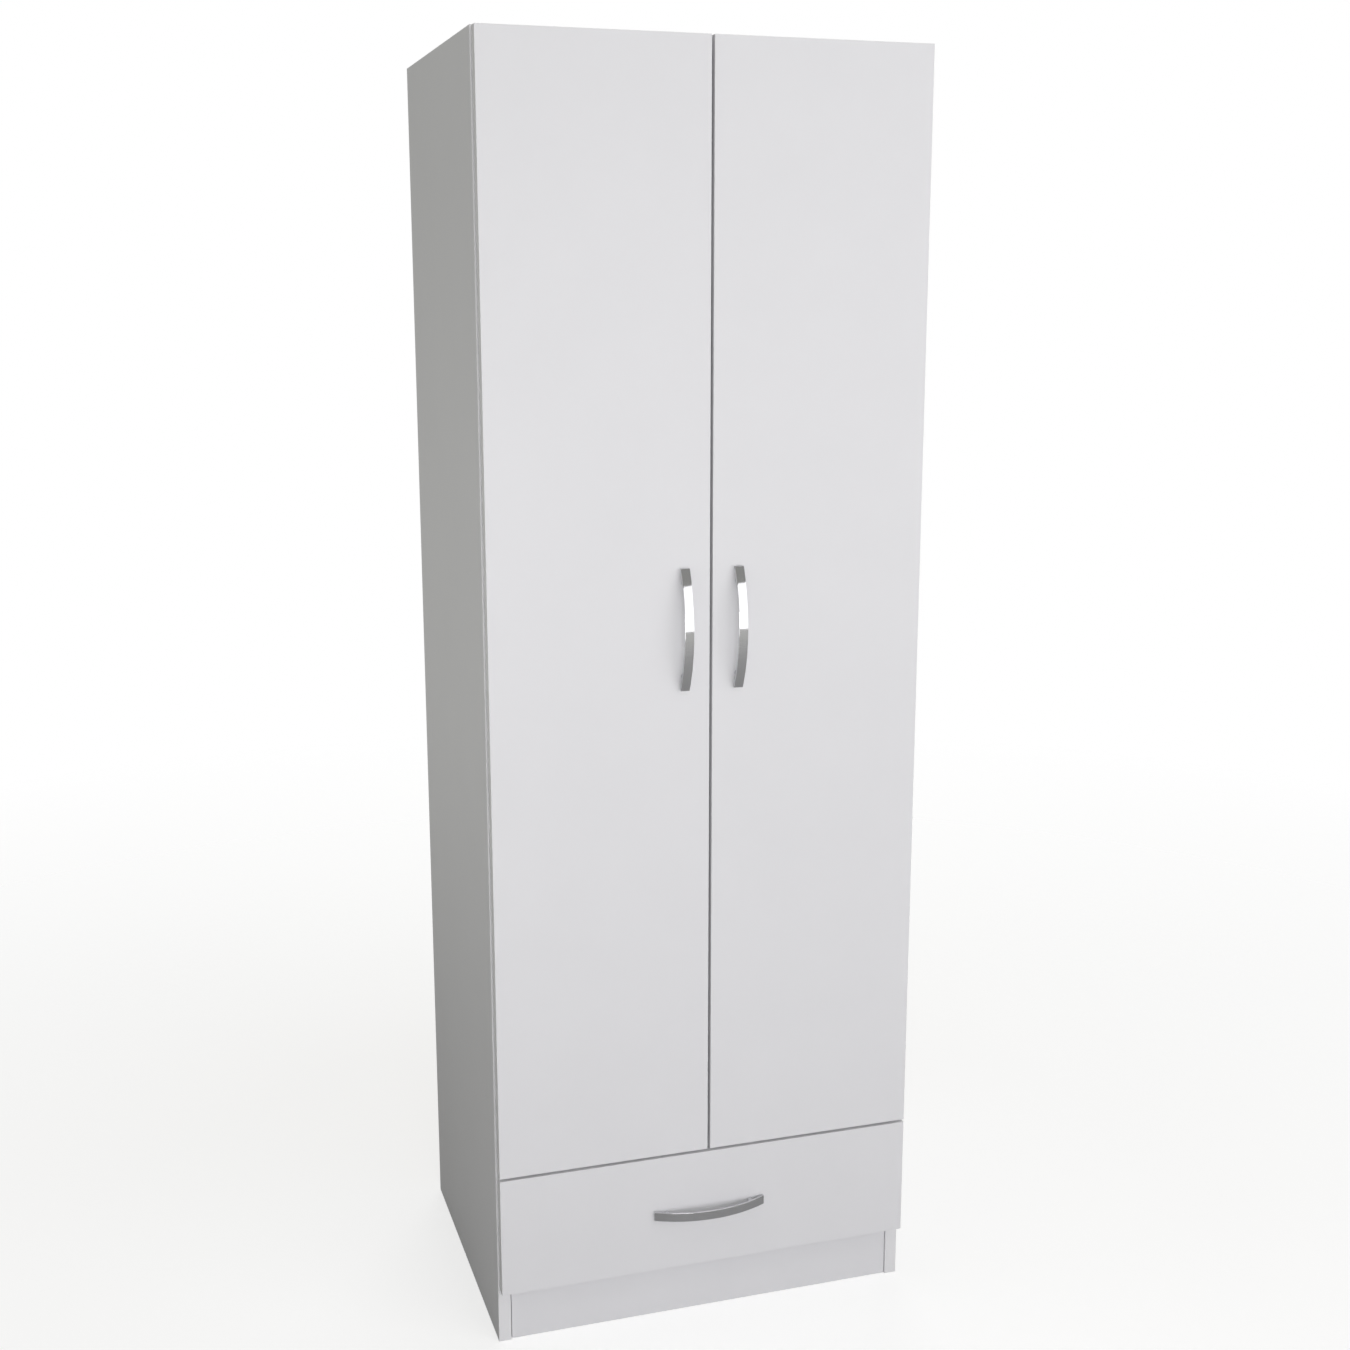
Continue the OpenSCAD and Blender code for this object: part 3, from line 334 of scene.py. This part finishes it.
whiteBoard = laminate("whiteLaminate", boardLook)
whiteEdge = laminate("whiteEdgeBand", edgeLook)
drawerFoil = laminate("drawerFoil", drawerLook)
chrome = metal("chrome", chromeLook)
nickel = metal("nickelSteel", nickelLook)
zinc = metal("zincSteel", zincLook)
castZinc = metal("castZinc", castLook)
coatedSteel = plastic("coatedSteel", coatLook)
whitePlastic = plastic("whitePlastic", stripLook)
nylon = plastic("nylon", nylonLook)
clearRubber = plastic("clearRubber", clearLook)
backSheet = hardboard("backSheet", backLook)
bottomSheet = hardboard("bottomSheet", bottomLook)
dowelWood = beech("dowelWood", beechLook)
slotMaterials = {"white_laminate": whiteBoard, "drawer_laminate": drawerFoil, "hardboard": backSheet,
                 "chrome": chrome, "nickel_steel": nickel, "zinc_steel": zinc,
                 "white_coated_steel": coatedSteel, "zinc_diecast": castZinc,
                 "white_plastic": whitePlastic, "nylon": nylon, "beech": dowelWood,
                 "clear_rubber": clearRubber}
for nodeName, nodeObject in frame["nodes"].items():
    nodeObject.data.materials.clear()
    nodeObject.data.materials.append(slotMaterials[slotOf(nodeName)])
print("materials made:", len(bpy.data.materials))


flatAngle = math.radians(0.2)  # triangles that meet flatter than this are one face
bevelAngle = math.radians(50)  # edges of fittings sharper than this are rounded
edgeLean = 0.5  # a face that leans further than this from the board's face is banded


def cleanCopy(node):
    # joined copy of a CAD node's mesh with its flat triangles dissolved into whole faces
    places, triangles = readTriangles(node)
    work = bmesh.new()
    mesh = bpy.data.meshes.new(node + "Copy")
    mesh.from_pydata(places.tolist(), [], triangles.tolist())
    work.from_mesh(mesh)
    bmesh.ops.dissolve_limit(work, angle_limit=flatAngle, verts=work.verts, edges=work.edges)
    work.to_mesh(mesh)
    work.free()
    return mesh


def outerEdges(mesh):
    # an edge counts when both its ends lie on two of the board's outer planes
    places = np.empty(len(mesh.vertices) * 3)
    mesh.vertices.foreach_get("co", places)
    places = places.reshape(-1, 3)
    ends = np.empty(len(mesh.edges) * 2, dtype=np.int64)
    mesh.edges.foreach_get("vertices", ends)
    ends = ends.reshape(-1, 2)
    near = 1e-6
    atLow = np.abs(places - places.min(0)) < near
    atHigh = np.abs(places - places.max(0)) < near
    shared = (atLow[ends[:, 0]] & atLow[ends[:, 1]]) | (atHigh[ends[:, 0]] & atHigh[ends[:, 1]])
    return (shared.sum(1) >= 2).astype(np.float32)


def addBevel(piece, width, segments, byWeight):
    # rounds a piece's marked edges, or all those sharper than the bevel angle
    bevel = piece.modifiers.new("edges", "BEVEL")
    bevel.width = width
    bevel.segments = segments
    bevel.limit_method = "WEIGHT" if byWeight else "ANGLE"
    bevel.angle_limit = bevelAngle
    bevel.harden_normals = not byWeight


def openJoint(mesh, left, right):
    # the board's two ends stop short of its neighbours, which leaves a fine dark line:
    # x = start + left + (x - start) * (length - left - right) / length
    places = np.empty(len(mesh.vertices) * 3)
    mesh.vertices.foreach_get("co", places)
    places = places.reshape(-1, 3)
    start = places[:, 0].min()
    length = np.ptp(places[:, 0])
    places[:, 0] = start + left + (places[:, 0] - start) * (length - left - right) / length
    mesh.vertices.foreach_set("co", places.ravel())


def board(node, face, edge, look):
    # a board keeps its holes; its outer edges are eased and its narrow sides are banded
    mesh = cleanCopy(node)
    if "joint" in look:
        openJoint(mesh, *look["joint"])
    weights = mesh.attributes.new("bevel_weight_edge", "FLOAT", "EDGE")
    weights.data.foreach_set("value", outerEdges(mesh))
    mesh.materials.append(face)
    mesh.materials.append(edge)
    low, high = corners(node)
    thin = int(np.argmin(high - low))
    normals = np.empty(len(mesh.polygons) * 3)
    mesh.polygons.foreach_get("normal", normals)
    onEdge = np.abs(normals.reshape(-1, 3)[:, thin]) < edgeLean
    mesh.polygons.foreach_set("material_index", onEdge.astype(np.int32))
    piece = bpy.data.objects.new(node + "_board", mesh)
    bpy.context.scene.collection.objects.link(piece)
    addBevel(piece, look["easing"], look["segments"], True)
    return settle(piece, bodyOf(node), slotOf(node), node)


boardShape = {"easing": 0.0003, "segments": 3}
sheetShape = {"easing": 0.0003, "segments": 2}
plinthShape = dict(boardShape, joint=(0.0017, 0.0005))
for nodeName in ("side_panel_left", "side_panel_right", "top_panel", "divider_panel", "base_panel",
                 "hat_shelf", "door_left", "door_right", "drawer_front"):
    board(nodeName, whiteBoard, whiteEdge, boardShape)
board("plinth_board", whiteBoard, whiteEdge, plinthShape)
for nodeName in ("drawer_side_left", "drawer_side_right", "drawer_back"):
    board(nodeName, drawerFoil, drawerFoil, boardShape)
for nodeName in ("back_panel_upper", "back_panel_lower"):
    board(nodeName, backSheet, backSheet, sheetShape)
board("drawer_bottom", bottomSheet, bottomSheet, sheetShape)
print("boards eased and banded")


def fitting(node, material, easing):
    # joined copy of a metal or plastic fitting with its edges rounded off
    mesh = cleanCopy(node)
    mesh.materials.append(material)
    mesh.polygons.foreach_set("use_smooth", np.full(len(mesh.polygons), True))
    piece = bpy.data.objects.new(node + "_fitting", mesh)
    bpy.context.scene.collection.objects.link(piece)
    addBevel(piece, easing, fittingSegments, False)
    return settle(piece, bodyOf(node), slotOf(node), node)


fittingSegments = 2
fittingEasing = {"hinge_mounting_plates": 0.0003, "hinge_arms": 0.0003, "hinge_cups_left": 0.0002,
                 "hinge_cups_right": 0.0002, "runner_cabinet_left": 0.0003,
                 "runner_cabinet_right": 0.0003, "runner_drawer_left": 0.0003,
                 "runner_drawer_right": 0.0003, "cam_locks": 0.0002, "drawer_cam_locks": 0.0002,
                 "wall_brackets": 0.0004, "shelf_support_pins": 0.0004,
                 "back_joining_strip": 0.0003}
for nodeName, easing in fittingEasing.items():
    fitting(nodeName, slotMaterials[slotOf(nodeName)], easing)
print("fittings rounded off")


def turned(profile, around, axisStart, axis):
    # a profile of (radius, height) pairs turned about an axis:
    # place = start + axis * height + radius * (u cos a + v sin a)
    radius, height = np.array(profile).T
    angle = np.linspace(0, 2 * np.pi, around, endpoint=False)
    axis = np.array(axis, float)
    u = np.array([axis[1], axis[2], axis[0]])
    v = np.cross(axis, u)
    spoke = np.cos(angle)[:, None] * u + np.sin(angle)[:, None] * v
    return np.array(axisStart) + height[:, None, None] * axis + radius[:, None, None] * spoke


def roundCorner(centre, radius, start, end, steps=5):
    # points of an arc between two angles in degrees, as (radius, height) pairs
    angle = np.radians(np.linspace(start, end, steps))
    return [(centre[0] + radius * math.cos(a), centre[1] + radius * math.sin(a)) for a in angle]


def turnedRing(name, profile, around, axisStart, axis, material):
    # a closed profile that never meets the axis gives a closed ring; doubled points are dropped
    ends = zip(profile, profile[1:] + profile[:1])
    profile = [point for point, after in ends if math.dist(point, after) > 1e-6]
    points = turned(profile + profile[:1], around, axisStart, axis)
    rows, columns = points.shape[:2]
    quads = gridFaces(rows, columns)
    last = (rows - 1) * columns
    quads = np.where(quads >= last, quads - last, quads)
    piece = buildObject(name, points[:-1], quads, [material])
    piece.data.set_sharp_from_angle(angle=sharpAngle)
    return piece


def hangingRail(look):
    # drawn tube with its two rims rounded
    low, high = corners("hanging_rail")
    outer = (high[2] - low[2]) / 2
    inner = outer - look["wall"]
    length = high[0] - low[0]
    lip = look["lip"]
    profile = [(inner, length - lip), (inner, lip)]
    profile += roundCorner((inner + lip, lip), lip, 180, 270)
    profile += roundCorner((outer - lip, lip), lip, 270, 360)
    profile += roundCorner((outer - lip, length - lip), lip, 0, 90)
    profile += roundCorner((inner + lip, length - lip), lip, 90, 180)
    centre = (low + high) / 2
    start = (low[0], centre[1], centre[2])
    piece = turnedRing("hanging_rail_tube", profile, look["around"], start, (1, 0, 0), chrome)
    return settle(piece, bodyOf("hanging_rail"), "chrome", "hanging_rail")


def railSocket(node, look):
    # flange with a rounded rim, a fillet up to the collar, and the collar's bore
    low, high = corners(node)
    railLow, railHigh = corners("hanging_rail")
    boreRadius = (railHigh[2] - railLow[2]) / 2 + look["clearance"]
    flangeRadius = (high[2] - low[2]) / 2
    collar = boreRadius + look["wall"]
    depth = high[0] - low[0]
    base, lip, fillet = look["base"], look["lip"], look["fillet"]
    profile = [(boreRadius, base), (look["hole"], base), (look["hole"], 0), (flangeRadius, 0)]
    profile += roundCorner((flangeRadius - lip, base - lip), lip, 0, 90)
    profile += roundCorner((collar + fillet, base + fillet), fillet, 270, 180)
    profile += roundCorner((collar - lip, depth - lip), lip, 0, 90)
    profile += roundCorner((boreRadius + lip, depth - lip), lip, 90, 180)
    toMiddle = 1 if low[0] < 0 else -1
    centre = (low + high) / 2
    start = (low[0] if toMiddle > 0 else high[0], centre[1], centre[2])
    piece = turnedRing(node + "_turned", profile, look["around"], start, (toMiddle, 0, 0), chrome)
    return settle(piece, bodyOf(node), "chrome", node)


def runnerRoller(node, look):
    # nylon tyre with a shallow groove, dished faces and a hub bore
    low, high = corners(node)
    radius = (high[2] - low[2]) / 2
    width = high[0] - low[0]
    lip, dish = look["lip"], look["dish"]
    bore, hub, rim = look["bore"], look["hub"], radius - look["tyre"]
    middle = width / 2
    profile = [(bore, width), (bore, 0), (hub, 0), (hub + dish, dish), (rim - dish, dish), (rim, 0)]
    profile += roundCorner((radius - lip, lip), lip, 270, 360)
    floor, half = radius - look["groove"], look["grooveWidth"] / 2
    profile += [(floor, middle - half), (floor, middle + half)]
    profile += roundCorner((radius - lip, width - lip), lip, 0, 90)
    profile += [(rim, width), (rim - dish, width - dish), (hub + dish, width - dish), (hub, width)]
    centre = (low + high) / 2
    start = (low[0], centre[1], centre[2])
    piece = turnedRing(node + "_turned", profile, look["around"], start, (1, 0, 0), nylon)
    return settle(piece, bodyOf(node), "nylon", node)


railShape = {"wall": 0.0012, "lip": 0.0004, "around": 96}
socketShape = {"clearance": 0.0001, "wall": 0.003, "base": 0.003, "lip": 0.001, "fillet": 0.0015,
               "hole": 0.004, "around": 96}
rollerShape = {"bore": 0.00255, "hub": 0.0042, "tyre": 0.0022, "dish": 0.0008, "lip": 0.0006,
               "groove": 0.0004, "grooveWidth": 0.0024, "around": 64}
hangingRail(railShape)
for nodeName in ("rail_socket_left", "rail_socket_right"):
    railSocket(nodeName, socketShape)
for nodeName in ("roller_cabinet_left", "roller_cabinet_right", "roller_drawer_left",
                 "roller_drawer_right"):
    runnerRoller(nodeName, rollerShape)
print("rail, sockets and rollers turned")


def screwGrid(length, headRadius, headHeight, shankRadius, look):
    # rings from the middle of the head out over its dome, round its rim and down the thread;
    # the recess is a cross that fades with depth, the thread a sawtooth that turns once a pitch
    around = look["around"]
    angle = np.linspace(0, 2 * np.pi, around, endpoint=False)
    share = np.linspace(look["headStart"], 1, look["headRings"])
    radius = headRadius * share
    dome = headHeight * (1 - look["dome"] * share ** 4)
    x = radius[:, None] * np.cos(angle)
    y = radius[:, None] * np.sin(angle)
    arm = np.minimum(np.abs(x), np.abs(y)) / (headRadius * look["crossWidth"])
    reach = np.maximum(np.abs(x), np.abs(y)) / (headRadius * look["crossReach"])
    recess = (np.clip(look["armSlope"] * (1 - arm), 0, 1)
              * np.clip(look["reachSlope"] * (1 - reach), 0, 1))
    top = dome[:, None] - look["crossDepth"] * headHeight * recess
    head = np.stack([x, y, top], -1)
    under = np.stack([headRadius * np.cos(angle), headRadius * np.sin(angle), 0 * angle], -1)
    along = np.arange(0, length, look["pitch"] / 4)
    turn = (along[:, None] / look["pitch"] + angle / (2 * np.pi)) % 1
    taper = np.clip((length - along) / (2 * shankRadius), look["tip"], 1)[:, None]
    grip = np.where(along[:, None] < look["plain"], 1.0, 1 - look["threadDepth"] * turn)
    thread = shankRadius * grip * taper
    shank = np.stack([thread * np.cos(angle), thread * np.sin(angle),
                      np.broadcast_to(-along[:, None], thread.shape)], -1)
    return np.concatenate([head, under[None], shank])


def screws(node, outward, look):
    # one mesh for all the screws of a node; outward gives the way a screw's head faces
    allPlaces, allQuads, allCaps, offset = [], [], [], 0
    for low, high in solidBoxes(node):
        out = np.array(outward((low + high) / 2), float)
        axis = int(np.argmax(np.abs(out)))
        across = [a for a in range(3) if a != axis]
        headRadius = (high - low)[across].max() / 2
        length = (high - low)[axis] - look["headHeight"]
        grid = screwGrid(length, headRadius, look["headHeight"], look["shank"] / 2, look)
        u = np.roll(np.abs(out), 1)
        v = np.cross(out, u)
        start = (low + high) / 2
        tip = low[axis] if out[axis] > 0 else high[axis]
        start[axis] = tip + out[axis] * length
        places = start + grid[..., :1] * u + grid[..., 1:2] * v + grid[..., 2:] * out
        rows, columns = places.shape[:2]
        allPlaces.append(places.reshape(-1, 3))
        allQuads.append(gridFaces(rows, columns)[:, ::-1] + offset)
        allCaps.append(range(offset, offset + columns))
        allCaps.append(range(offset + rows * columns - 1, offset + (rows - 1) * columns - 1, -1))
        offset += rows * columns
    piece = buildObject(node + "_threaded", np.concatenate(allPlaces), np.concatenate(allQuads),
                        [zinc], True, allCaps)
    piece.data.set_sharp_from_angle(angle=math.radians(40))
    return settle(piece, bodyOf(node), "zinc_steel", node)


def towardsMiddle(centre):
    return (1, 0, 0) if centre[0] < 0 else (-1, 0, 0)


def awayFromMiddle(centre):
    return (-1, 0, 0) if centre[0] < 0 else (1, 0, 0)


def towardsBack(centre):
    return (0, 1, 0)


def downwards(centre):
    return (0, 0, -1)


screwShape = {"around": 32, "headRings": 14, "headStart": 0.02, "dome": 0.35, "crossWidth": 0.22,
              "crossReach": 0.62, "crossDepth": 0.7, "armSlope": 1.6, "reachSlope": 3,
              "pitch": 0.0016, "plain": 0.002, "threadDepth": 0.22, "tip": 0.05,
              "headHeight": 0.002, "shank": 0.004}
screws("hinge_plate_screws", towardsMiddle, screwShape)
screws("rail_socket_screws", towardsMiddle, screwShape)
screws("hinge_arm_screws", towardsMiddle, dict(screwShape, shank=0.005, pitch=0.0008))
screws("runner_cabinet_screws", towardsMiddle, dict(screwShape, headHeight=0.0015))
screws("runner_drawer_screws", downwards, dict(screwShape, headHeight=0.0015, shank=0.0035))
screws("wall_bracket_screws", downwards, dict(screwShape, shank=0.0035))
screws("drawer_back_screws", awayFromMiddle, dict(screwShape, plain=0.012))
for side in ("left", "right"):
    screws("door_handle_screws_" + side, towardsBack, dict(screwShape, shank=0.0033, pitch=0.0007,
                                                           plain=0.016))
    screws("hinge_cup_screws_" + side, towardsBack, dict(screwShape, headHeight=0.0014,
                                                         shank=0.0025, pitch=0.001))
screws("drawer_handle_screws", towardsBack, dict(screwShape, shank=0.0033, pitch=0.0007,
                                                 plain=0.016))
print("screws threaded")


def strapSection(look):
    # rounded rectangle round the strap: across runs over the width, level from 0 at the
    # inner arc to 1 at the outer arc; the outer face is crowned
    half = look["width"] / 2
    radius = look["edge"]
    thick = look["thickness"]
    steps = look["cornerSteps"]
    points = roundCorner((half - radius, thick - radius), radius, 0, 90, steps)
    flat = np.linspace(half - radius, -half + radius, look["faceSteps"])[1:-1]
    points += [(w, thick) for w in flat]
    points += roundCorner((-half + radius, thick - radius), radius, 90, 180, steps)
    points += roundCorner((-half + radius, radius), radius, 180, 270, steps)
    points += roundCorner((half - radius, radius), radius, 270, 360, steps)
    across, level = np.array(points).T
    crown = look["crown"] * (across / half) ** 2 * (level > thick / 2)
    return across, (level - crown) / thick


def bowHandle(node, look, lengthAxis):
    # the strap runs between two arcs about one centre, and its section leans so that both ends
    # are cut square to the front: place = inner arc + level * (outer arc - inner arc), where the
    # outer arc has the handle's half length as half chord and the bow as height
    low, high = corners(node)
    widthAxis = 2 if lengthAxis == 0 else 0
    length = (high - low)[lengthAxis]
    outer = ((length / 2) ** 2 + look["bow"] ** 2) / (2 * look["bow"])
    inner = outer - look["thickness"]
    share = np.linspace(-1, 1, look["steps"])[:, None]
    outerAngle = share * math.asin(length / 2 / outer)
    innerAngle = share * math.asin(length / 2 / inner)
    across, level = strapSection(dict(look, width=(high - low)[widthAxis]))
    along = inner * np.sin(innerAngle) * (1 - level) + outer * np.sin(outerAngle) * level
    out = inner * np.cos(innerAngle) * (1 - level) + outer * np.cos(outerAngle) * level - outer
    places = np.empty(along.shape + (3,))
    centre = (low + high) / 2
    places[..., lengthAxis] = centre[lengthAxis] + along
    places[..., widthAxis] = centre[widthAxis] + across
    places[..., 1] = low[1] - out
    rows, columns = along.shape
    quads = gridFaces(rows, columns)
    caps = [list(range(columns))[::-1], list(range((rows - 1) * columns, rows * columns))]
    if lengthAxis == 2:
        quads = quads[:, ::-1]
        caps = [c[::-1] for c in caps]
    piece = buildObject(node + "_strap", places, quads, [chrome], True, caps)
    piece.data.set_sharp_from_angle(angle=sharpAngle)
    return settle(piece, bodyOf(node), "chrome", node)


def handleBosses(node, look, lengthAxis):
    # two short posts between the front and the strap, each a profile turned about its axis
    low, high = corners(node)
    centre = (low + high) / 2
    radius, sides = look["radius"], look["sides"]
    places, quads, caps, offset = [], [], [], 0
    for sign in (-1, 1):
        start = np.array([centre[0], high[1], centre[2]])
        start[lengthAxis] += sign * look["pitch"] / 2
        profile = [(radius + look["foot"], 0), (radius, look["footHeight"]),
                   (radius, look["height"])]
        grid = turned(profile, sides, start, (0, -1, 0))
        places.append(grid.reshape(-1, 3))
        quads.append(gridFaces(3, sides) + offset)
        caps.append(list(range(offset, offset + sides))[::-1])
        caps.append(list(range(offset + 2 * sides, offset + 3 * sides)))
        offset += 3 * sides
    piece = buildObject(node + "_bosses", np.concatenate(places), np.concatenate(quads), [chrome],
                        True, caps)
    piece.data.set_sharp_from_angle(angle=sharpAngle)
    return settle(piece, bodyOf(node), "chrome")


handleShape = {"thickness": 0.003, "bow": 0.02, "edge": 0.0004, "crown": 0.00005, "steps": 97,
               "cornerSteps": 6, "faceSteps": 9}
bossShape = {"radius": 0.004, "height": 0.01205, "foot": 0.0004, "footHeight": 0.0006,
             "pitch": 0.128, "sides": 32}
for nodeName, lengthAxis in (("door_handle_left", 2), ("door_handle_right", 2),
                             ("drawer_handle", 0)):
    bowHandle(nodeName, handleShape, lengthAxis)
    handleBosses(nodeName, bossShape, lengthAxis)
print("handles bowed")


def studioFloor(look):
    # flat disc under the wardrobe, made of rings: radius = share * full radius; it fades out
    # towards its rim and is a little brighter to the camera than to the wardrobe
    rings, around = look["rings"], look["around"]
    profile = [(look["radius"] * s, 0) for s in np.linspace(look["middle"], 1, rings)]
    grid = turned(profile, around, (0, 0, look["level"]), (0, 0, 1))
    floor = buildObject("studio_floor", grid, gridFaces(rings, around), [], False,
                        [list(range(around))[::-1]])
    material, tree, shader, coords = startMaterial("paleFloor")
    cloud = noiseFactor(tree, coords, look["cloudScale"], look["cloudDetail"], -900, 300)
    colour = mixColours(tree, cloud, look["colour"], look["colourLow"], -500, 300)
    tree.links.new(colour, shader.inputs["Base Color"])
    shader.inputs["Roughness"].default_value = look["roughness"]
    shader.inputs["Specular IOR Level"].default_value = look["specular"]
    distance = addNode(tree, "ShaderNodeVectorMath", -900, -200, operation="LENGTH")
    tree.links.new(coords, distance.inputs[0])
    solid = spreadRange(tree, distance.outputs["Value"], 1, 0, -500, -200, *look["fade"])
    tree.links.new(solid, shader.inputs["Alpha"])
    path = addNode(tree, "ShaderNodeLightPath", -900, -500)
    lift = spreadRange(tree, path.outputs["Is Camera Ray"], 0, look["lift"], -500, -500, 0, 1)
    shader.inputs["Emission Color"].default_value = (1, 1, 1, 1)
    tree.links.new(lift, shader.inputs["Emission Strength"])
    floor.data.materials.append(material)


def softbox(name, look):
    # rectangular area light that looks at a point: its tilt is the angle between the way down
    # and the way to the point, its turn the point's bearing
    data = bpy.data.lights.new(name, "AREA")
    data.shape = "RECTANGLE"
    data.size, data.size_y = look["size"]
    data.energy = look["power"]
    data.color = look["colour"]
    light = bpy.data.objects.new(name, data)
    light.location = look["place"]
    direction = np.array(look["aim"], float) - np.array(look["place"], float)
    flat = math.hypot(direction[0], direction[1])
    turn = math.atan2(direction[1], direction[0]) - math.pi / 2
    light.rotation_euler = (math.atan2(flat, -direction[2]), 0, turn)
    bpy.context.scene.collection.objects.link(light)


def studioWorld(look):
    # even grey surroundings, a little lighter just under the horizon, behind a white backdrop
    world = bpy.data.worlds.new("studio")
    bpy.context.scene.world = world
    world.use_nodes = True
    tree = world.node_tree
    background = tree.nodes["Background"]
    coords = addNode(tree, "ShaderNodeTexCoord", -1200, 0)
    split = addNode(tree, "ShaderNodeSeparateXYZ", -1000, 0)
    tree.links.new(coords.outputs["Generated"], split.inputs["Vector"])
    lower = spreadRange(tree, split.outputs["Z"], 0, 1, -800, -200, *look["lowBlend"])
    under = mixColours(tree, lower, look["below"], look["level"], -600, -200)
    height = spreadRange(tree, split.outputs["Z"], 0, 1, -800, 0, *look["blend"])
    shade = mixColours(tree, height, under, look["above"], -500, 0)
    path = addNode(tree, "ShaderNodeLightPath", -800, 300)
    colour = mixColours(tree, path.outputs["Is Camera Ray"], shade, look["backdrop"], -400, 0)
    tree.links.new(colour, background.inputs["Color"])


def studioCamera(look):
    # stands at eye height left of the middle; yaw and pitch are in degrees
    data = bpy.data.cameras.new("camera")
    data.lens = look["lens"]
    data.sensor_width = 36
    camera = bpy.data.objects.new("camera", data)
    camera.location = look["place"]
    camera.rotation_euler = (math.radians(90 + look["pitch"]), 0, math.radians(-look["yaw"]))
    bpy.context.scene.collection.objects.link(camera)
    bpy.context.scene.camera = camera


floorLook = {"radius": 3.6, "middle": 0.001, "rings": 12, "around": 96, "level": -0.0002,
             "cloudScale": 1.5, "cloudDetail": 2, "roughness": 0.7, "specular": 0.2,
             "colour": (0.50, 0.50, 0.50), "colourLow": (0.48, 0.48, 0.48),
             "fade": (0.9, 3.4), "lift": 0.64}
worldLook = {"above": (0.335, 0.335, 0.318), "level": (0.56, 0.56, 0.535), "blend": (-0.12, 0.06),
             "below": (0.42, 0.42, 0.403), "lowBlend": (-0.6, -0.25), "backdrop": (1, 1, 1)}
cameraLook = {"place": (-0.770, -2.491, 1.478), "yaw": 17.65, "pitch": -12.12, "lens": 47.54}
coolLamp = (0.99, 0.98, 1.0)
warmLamp = (1.0, 1.0, 0.85)
plainLamp = (1.0, 1.0, 1.0)
softboxes = {
    "keySoftbox": {"place": (1.95, -3.4, 1.70), "aim": (0.6, -0.23, 1.70), "size": (4.0, 2.6),
                   "power": 43, "colour": coolLamp},
    "topSoftbox": {"place": (1.0, -2.6, 4.7), "aim": (0.2, -0.23, 1.7), "size": (3.0, 1.2),
                   "power": 15, "colour": coolLamp},
    "frontSoftbox": {"place": (-0.65, -3.35, 0.7), "aim": (0, -0.23, 0.5), "size": (1.1, 1.2),
                     "power": 30, "colour": coolLamp},
    "leftSoftbox": {"place": (-3.2, -1.8, 2.8), "aim": (-0.3, 0, 1.5), "size": (1.6, 1.6),
                    "power": 3, "colour": warmLamp},
    "rearSoftbox": {"place": (1.0, 4.0, 2.6), "aim": (0, 0, 0.9), "size": (3.0, 2.0),
                    "power": 40, "colour": plainLamp},
}
studioFloor(floorLook)
studioWorld(worldLook)
for lampName, lampLook in softboxes.items():
    softbox(lampName, lampLook)
studioCamera(cameraLook)
bpy.context.scene.view_settings.view_transform = "Standard"
print("floor, light and camera placed")
